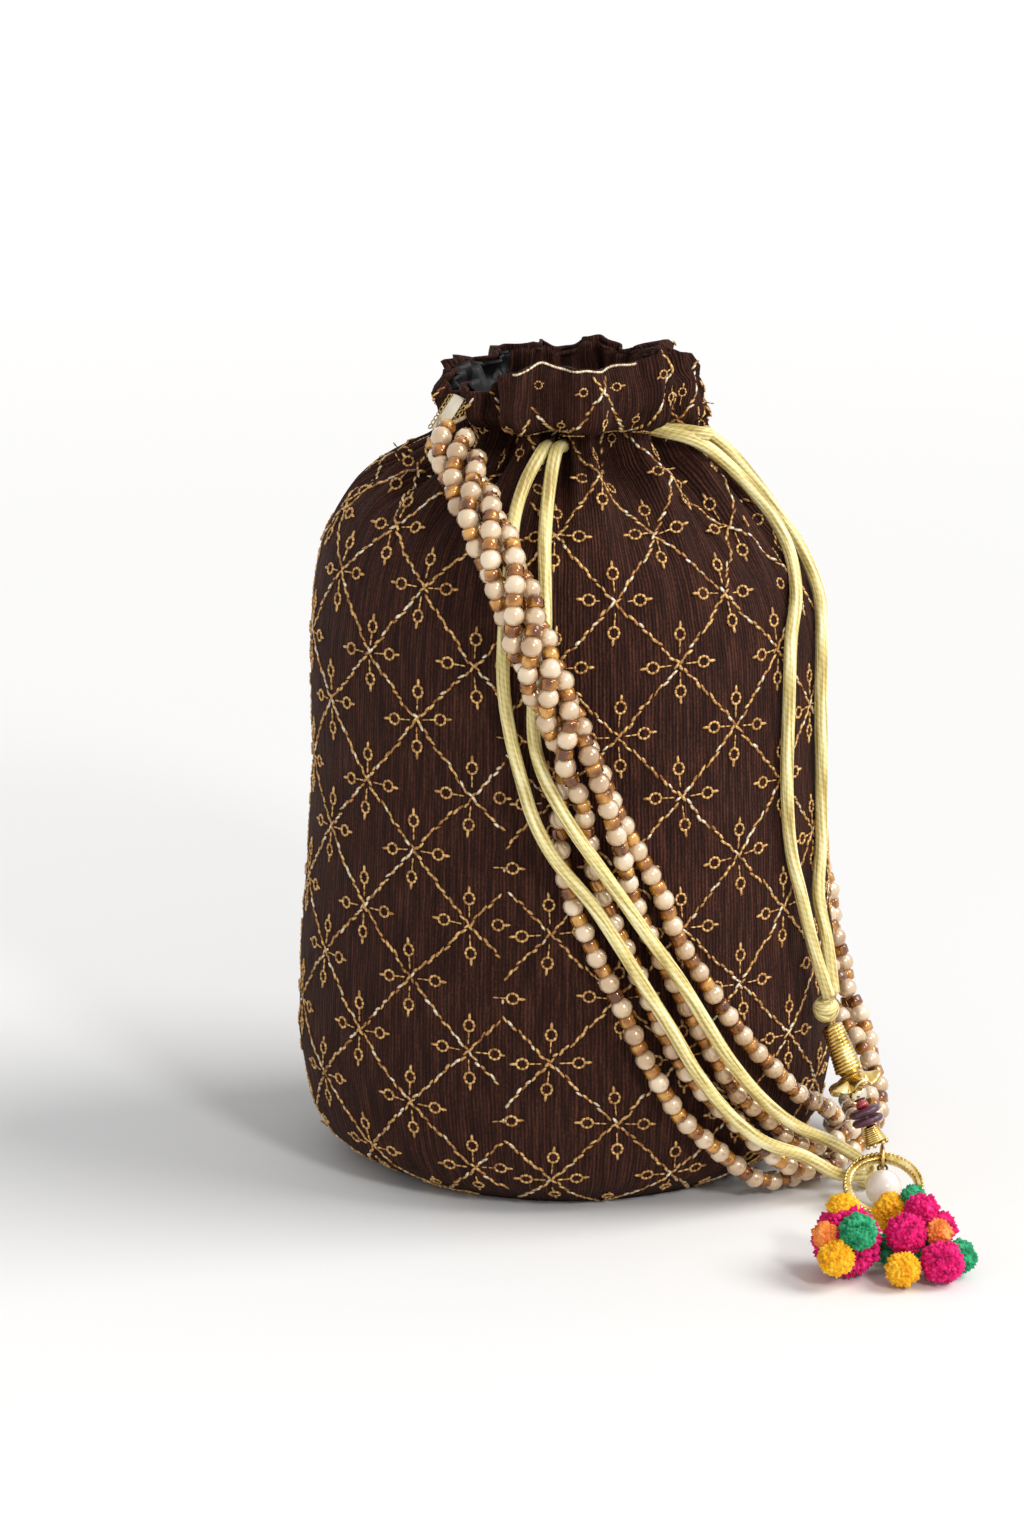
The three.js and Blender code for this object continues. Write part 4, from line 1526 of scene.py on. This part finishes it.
def coil_route(foot, top, foot_radius, top_radius, coils):
    points = []
    steps = 22 * coils
    for i in range(steps + 1):
        share = i / steps
        turn = math.tau * coils * share
        radius = mix(foot_radius, top_radius, share)
        point = Vector((radius * math.cos(turn), radius * math.sin(turn), mix(foot, top, share)))
        points.append(on_thread @ point)
    return points


def add_sleeve():
    wire = 0.56
    bm = bmesh.new()
    route = coil_route(
        sleeve_foot + wire,
        sleeve_top - wire,
        sleeve_foot_radius - wire,
        sleeve_top_radius - wire,
        sleeve_coils,
    )
    wrap_tube(bm, route, lambda share: wire, 8)
    core = [(0, sleeve_foot), (2.6, sleeve_foot), (1.9, sleeve_top), (0, sleeve_top)]
    wrap_turned(bm, core, 16, matrix=on_thread)
    tassel_piece("coiled_sleeve", bm, [brass_finish])


def petal_shape(radius, height, turn):
    """Draws the cup's edge out into petals whose tips curl back up."""
    petal = abs(math.cos(petal_count * turn / 2))
    reach = eased(radius, 2.2, bell_reach)
    curl = 1.9 * reach**2 * petal**2
    return radius * (1 - 0.38 * reach * (1 - petal)), height + curl


def add_bell():
    outer = []
    for i in range(13):
        share = i / 12
        height = mix(bell_top, bell_foot - 0.4, share**1.25)
        outer.append((mix(1.7, bell_reach, share**0.8), height))
    inner = [(radius - 0.1, height - 0.45) for radius, height in reversed(outer)]
    bm = bmesh.new()
    profile = [(0, bell_top), *outer, *inner, (0, bell_top - 0.5)]
    wrap_turned(bm, profile, 80, petal_shape, on_thread)
    tassel_piece("petal_bell", bm, [brass_finish])


def add_beads_on_thread():
    bm = bmesh.new()
    wrap_turned(bm, ball_profile(ball_radius, ball_centre), 28, matrix=on_thread)
    tassel_piece("brass_ball", bm, [ball_finish])
    bm = bmesh.new()
    wrap_turned(bm, ball_profile(seed_bead_radius, seed_bead_centre, 10, 0.8), 20, matrix=on_thread)
    tassel_piece("seed_bead", bm, [red_finish])
    for word, centre in disc_centres.items():
        rim = disc_thickness / 2
        rounded = [math.pi * (i / 8 - 0.5) for i in range(9)]
        edge = [
            (disc_radius - rim + rim * math.cos(a), centre + rim * math.sin(a)) for a in rounded
        ]
        dished = [(0.9, centre - rim + 0.3), *edge, (0.9, centre + rim - 0.3)]
        bm = bmesh.new()
        wrap_turned(bm, [(0, centre - rim + 0.3), *dished, (0, centre + rim - 0.3)], 36, matrix=on_thread)
        tassel_piece("disc_" + word, bm, [disc_finish])


hoop_way = Vector((-0.03, -math.cos(hoop_lean), -math.sin(hoop_lean))).normalized()
hoop_side = (Vector((1, 0, 0)) - hoop_way * hoop_way.x).normalized()
in_hoop = basis(hoop_hinge, hoop_side, hoop_way, hoop_side.cross(hoop_way))


def ring_route(radius, centre, steps, plane="XY"):
    points = []
    for i in range(steps + 1):
        turn = math.tau * (i % steps) / steps
        x, y = radius * math.cos(turn), radius * math.sin(turn)
        flat = (x, y, 0) if plane == "XY" else (0, x, y)
        points.append(in_hoop @ (Vector(flat) + centre))
    return points


def add_cone():
    wire = 0.42
    bm = bmesh.new()
    route = coil_route(
        cone_foot + wire,
        cone_top - wire,
        cone_foot_radius - wire,
        cone_top_radius - wire,
        cone_coils,
    )
    wrap_tube(bm, route, lambda share: wire, 8)
    core = [(0, cone_foot), (cone_foot_radius - 0.7, cone_foot), (1.0, cone_top), (0, cone_top)]
    wrap_turned(bm, core, 16, matrix=on_thread)
    knob = stitch_template(0)
    for i in range(7):
        turn = math.tau * i / 7
        place = Matrix.Translation((2.5 * math.cos(turn), 2.5 * math.sin(turn), cone_foot - 0.1))
        stamp(bm, knob, on_thread @ place @ Matrix.Scale(1.35, 4))
    wrap_tube(bm, ring_route(bail_radius, Vector((0, 0, 0)), 36, "YZ"), lambda share: bail_wire, 8)
    tassel_piece("ribbed_cone", bm, [brass_finish])


def add_hoop():
    half = hoop_thickness / 2
    width = hoop_width / 2
    middle = Vector((0, hoop_middle, 0))

    def band(across, up):
        turn = math.tau * (across % 1)
        around = math.tau * (up % 1)
        flute = 0.14 * abs(math.sin(24 * turn)) if math.cos(around) < -0.2 else 0
        round_off = abs(math.cos(around)) ** 0.5 * math.copysign(1, math.cos(around))
        thick = abs(math.sin(around)) ** 0.5 * math.copysign(1, math.sin(around))
        radius = hoop_middle - 0.1 + (width - 0.25) * round_off + flute
        point = Vector((radius * math.cos(turn), radius * math.sin(turn), (half - 0.3) * thick))
        return in_hoop @ (point + middle)

    bm = bmesh.new()
    wrap_grid(bm, 192, 20, band)
    twist = stitch_template(0)
    for side in (-1, 1):
        for i in range(rope_twists):
            turn = math.tau * i / rope_twists
            place = Matrix.Translation(middle) @ Matrix.Rotation(turn, 4, "Z")
            place @= Matrix.Translation((hoop_outer - 0.85, 0, side * (half - 0.42)))
            place @= Matrix.Rotation(0.7 * side, 4, "X") @ Matrix.Diagonal((0.95, 1.7, 0.8, 1))
            stamp(bm, twist, in_hoop @ place)
    tassel_piece("hoop", bm, [brass_finish], body="hoop_and_pompoms")


def add_hanging_pearl():
    eye = Vector((0, bail_radius + 0.1, 0))
    bm = bmesh.new()
    wrap_tube(bm, ring_route(pin_eye_radius, eye, 24), lambda share: pin_radius, 8)
    start = Vector((0, eye.y + pin_eye_radius, 0))
    stem = [in_hoop @ start, in_hoop @ Vector((0, (start.y + pin_foot) / 2, 0))]
    stem.append(in_hoop @ Vector((0, pin_foot, 0)))
    wrap_tube(bm, stem, lambda share: pin_radius, 8)
    head = in_hoop @ Matrix.Translation((0, pin_foot, 0)) @ Matrix.Scale(1.6, 4)
    stamp(bm, stitch_template(0), head)
    tassel_piece("pearl_pin", bm, [steel_finish], body="hanging_pearl")
    bm = bmesh.new()
    place = in_hoop @ Matrix.Translation((0, drop_pearl_place, 0)) @ Matrix.Rotation(math.pi / 2, 4, "X")
    wrap_turned(bm, ball_profile(drop_pearl_radius, 0, 20), 36, matrix=place)
    tassel_piece("pearl_drop", bm, [drop_finish], body="hanging_pearl")


add_sleeve()
add_bell()
add_beads_on_thread()
add_cone()
add_hoop()
add_hanging_pearl()

# Knots of wound cord


def add_knot(name, centre, seed):
    route = []
    steps = 150
    for i in range(steps + 1):
        share = i / steps
        turn = math.tau * 3.15 * share + seed
        tilt = math.sin(math.tau * 2 * share + seed)
        reach = knot_radius - 1.35
        flat = Vector((math.cos(turn), math.sin(turn), 0.9 * tilt)).normalized() * reach
        route.append(centre + Matrix.Rotation(0.6, 3, "X") @ flat)
    bm = bmesh.new()
    wrap_tube(bm, route, lambda share: 1.42, 12)
    wrap_turned(bm, ball_profile(knot_radius - 1.0, 0, 10), 16, matrix=Matrix.Translation(centre))
    piece = finish_piece(name + "_wound", bm, [cord_finish])
    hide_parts(name)


add_knot("knot_front", front_knot, 0.4)
add_knot("knot_right", right_knot, 1.9)

# Ribbon tabs

lace_width = 8.3
satin_width = 3.6
lace_hole = 0.62
tab_ends = {
    "left": ((-50, 195.2, 4.4), (-52.5, 186.6, 8.2)),
    "right": ((110.5, 191.5, 2.2), (133, 185.5, 6.6)),
}


def lace_ring_template():
    """One hole of the net: a small ring of thread."""
    bm = bmesh.new()

    def place_at(across, up):
        turn, around = math.tau * (across % 1), math.tau * (up % 1)
        radius = lace_hole + 0.17 * math.cos(around)
        return Vector((radius * math.cos(turn), radius * math.sin(turn), 0.17 * math.sin(around)))

    wrap_grid(bm, 9, 5, place_at)
    return template_of(bm)


def add_tab(side, root, tip):
    root, tip = off_cloth(root), off_cloth(tip)
    along = tip - root
    outward = Vector((root.x, root.y, 0)).normalized()
    across = outward.cross(along).normalized()
    up = along.cross(across).normalized()
    length = along.length
    place = basis(root, along.normalized(), across, up)

    def strip(width, lift, bow):
        def place_at(share, over):
            x = length * share
            y = width * (over - 0.5)
            return place @ Vector((x, y, lift + bow * math.cos(math.pi * (over - 0.5))))

        return place_at

    ring = lace_ring_template()
    bm = bmesh.new()
    rows = round(length / (2 * lace_hole))
    columns = round((lace_width - satin_width) / 4 / lace_hole)
    for band in (-1, 1):
        for row in range(rows):
            for column in range(columns):
                x = (row + 0.5 + 0.25 * (column % 2)) * length / rows
                y = band * (satin_width / 2 + lace_hole * (0.9 + 1.75 * column))
                stamp(bm, ring, place @ Matrix.Translation((x, y, 0.8)))
    piece = finish_piece(f"handle_tab_{side}_net", bm, [lace_finish])
    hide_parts(f"handle_tab_{side}_lace")
    bm = bmesh.new()
    wrap_grid(bm, 12, 12, strip(satin_width + 0.8, 1.1, 0.5))
    piece = finish_piece(f"handle_tab_{side}_satin", bm, [satin_finish])
    wall = piece.modifiers.new("wall", "SOLIDIFY")
    wall.thickness = 0.35 * mm
    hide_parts(f"handle_tab_{side}")


for side, (root, tip) in tab_ends.items():
    add_tab(side, root, tip)

# Pompoms: place, radius and yarn

pompoms = [
    ("magenta_large", (64.8, -88.8, 8.7), 8.6),
    ("green_tuft", (66.8, -94.6, 13.2), 4.8),
    ("yellow_tuft", (61.6, -97, 7.7), 4.7),
    ("orange_tuft", (59.4, -93.2, 11.8), 3.6),
    ("yellow_top", (64, -86.2, 15.4), 4.4),
    ("yellow_near_hoop", (77.5, -68, 7.4), 5.4),
    ("green_near_hoop", (82.2, -69.4, 12), 3.4),
    ("magenta_upper", (83.1, -80.2, 12.6), 4.7),
    ("magenta_middle", (78.6, -88.6, 10.2), 5.3),
    ("magenta_right", (87.4, -81, 8.8), 4.4),
    ("orange_middle", (86.4, -87.6, 10.2), 3.6),
    ("green_middle", (82.6, -81.4, 5), 4.6),
    ("green_left", (75.4, -83.4, 4.6), 4.4),
    ("yellow_front", (77.2, -96.8, 4.7), 4.5),
    ("magenta_front", (86.6, -94.4, 5.6), 5.5),
    ("green_front", (91.2, -89.4, 4.9), 4.4),
]
yarn_ends_per_area = 1.0
yarn_end_width = 1.15
yarn_end_length = 2.3


def add_pompom(name, centre, radius):
    """A ball of cut yarn: its ends point outwards all over, packed tight."""
    centre = Vector(centre)
    end = stitch_template(0)
    count = round(yarn_ends_per_area * 4 * math.pi * radius**2)
    bm = bmesh.new()
    core = ball_profile(radius * 0.8, 0, 10)
    wrap_turned(bm, core, 16, matrix=Matrix.Translation(centre))
    for i in range(count):
        height = 1 - 2 * (i + 0.5) / count
        turn = i * math.pi * (3 - math.sqrt(5))
        level = math.sqrt(1 - height**2)
        way = Vector((level * math.cos(turn), level * math.sin(turn), height))
        way += 0.16 * Vector((random.gauss(0, 1), random.gauss(0, 1), random.gauss(0, 1)))
        way.normalize()
        tuft = 1 + 0.1 * noise.noise(way * 2.6 + centre)
        reach = min(radius * tuft * random.uniform(0.92, 1.02), centre.z / max(-way.z, 0.01))
        place = centre + way * (reach - yarn_end_length / 2)
        matrix = Matrix.Translation(place) @ way.to_track_quat("Z", "Y").to_matrix().to_4x4()
        width = yarn_end_width * random.uniform(0.8, 1.2)
        stamp(bm, end, matrix @ Matrix.Diagonal((width, width, yarn_end_length, 1)))
    color = name.split("_")[0]
    piece = finish_piece(
        "yarn_ball_" + name, bm, [yarn_finishes[color]], body="hoop_and_pompoms"
    )
    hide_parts("pompom_" + name)


for name, centre, radius in pompoms:
    add_pompom(name, centre, radius)

# Floor, backdrop and light


def pale_stage():
    """Nearly white, and brighter of itself further out, where the lamps don't reach."""
    finish = Finish("pale_stage")
    place = finish.place()
    away = finish.node("ShaderNodeVectorMath", {"operation": "LENGTH"}, [place], 1)
    glow = finish.ramp(away * 0.5, (0.15, (0, 0, 0)), (1.0, (0.16, 0.16, 0.16)))
    finish.shader.inputs["Emission Strength"].default_value = 1.0
    return finish.surface(
        base_color=opaque((0.88, 0.88, 0.88)), roughness=0.95, specular_ior_level=0.0, emission_color=glow
    )


def add_stage():
    bm = bmesh.new()
    bmesh.ops.create_grid(bm, x_segments=1, y_segments=1, size=6.0)
    mesh = bpy.data.meshes.new("floor")
    bm.to_mesh(mesh)
    bm.free()
    mesh.materials.append(pale_stage())
    floor = bpy.data.objects.new("floor", mesh)
    bpy.context.collection.objects.link(floor)


def aimed_light(name, kind, place, power, color, **settings):
    data = bpy.data.lights.new(name, kind)
    data.energy = power
    data.color = color
    for setting, value in settings.items():
        setattr(data, setting, value)
    lamp = bpy.data.objects.new(name, data)
    lamp.location = place
    lamp.rotation_euler = (-Vector(place)).to_track_quat("-Z", "Y").to_euler()
    bpy.context.collection.objects.link(lamp)


world_strength = 0.54


def add_world():
    world = bpy.data.worlds.new("world")
    world.use_nodes = True
    tree = world.node_tree
    background = tree.nodes["Background"]
    background.inputs["Color"].default_value = (1, 1, 1, 1)
    path = tree.nodes.new("ShaderNodeLightPath")
    strength = tree.nodes.new("ShaderNodeMath")
    strength.operation = "MULTIPLY_ADD"
    strength.inputs[1].default_value = 0.6
    strength.inputs[2].default_value = world_strength
    tree.links.new(path.outputs["Is Glossy Ray"], strength.inputs[0])
    tree.links.new(strength.outputs[0], background.inputs["Strength"])
    bpy.context.scene.world = world


add_stage()
add_world()
sun_spread = math.radians(35)
aimed_light("sun", "SUN", (0.9, -0.1, 0.9), 2.1, (1.0, 0.985, 0.965), angle=sun_spread)
aimed_light("front_lamp", "AREA", (0.55, -1.0, 0.75), 5.0, (1, 1, 1), shape="DISK", size=0.22)
bpy.context.scene.view_settings.view_transform = "Standard"
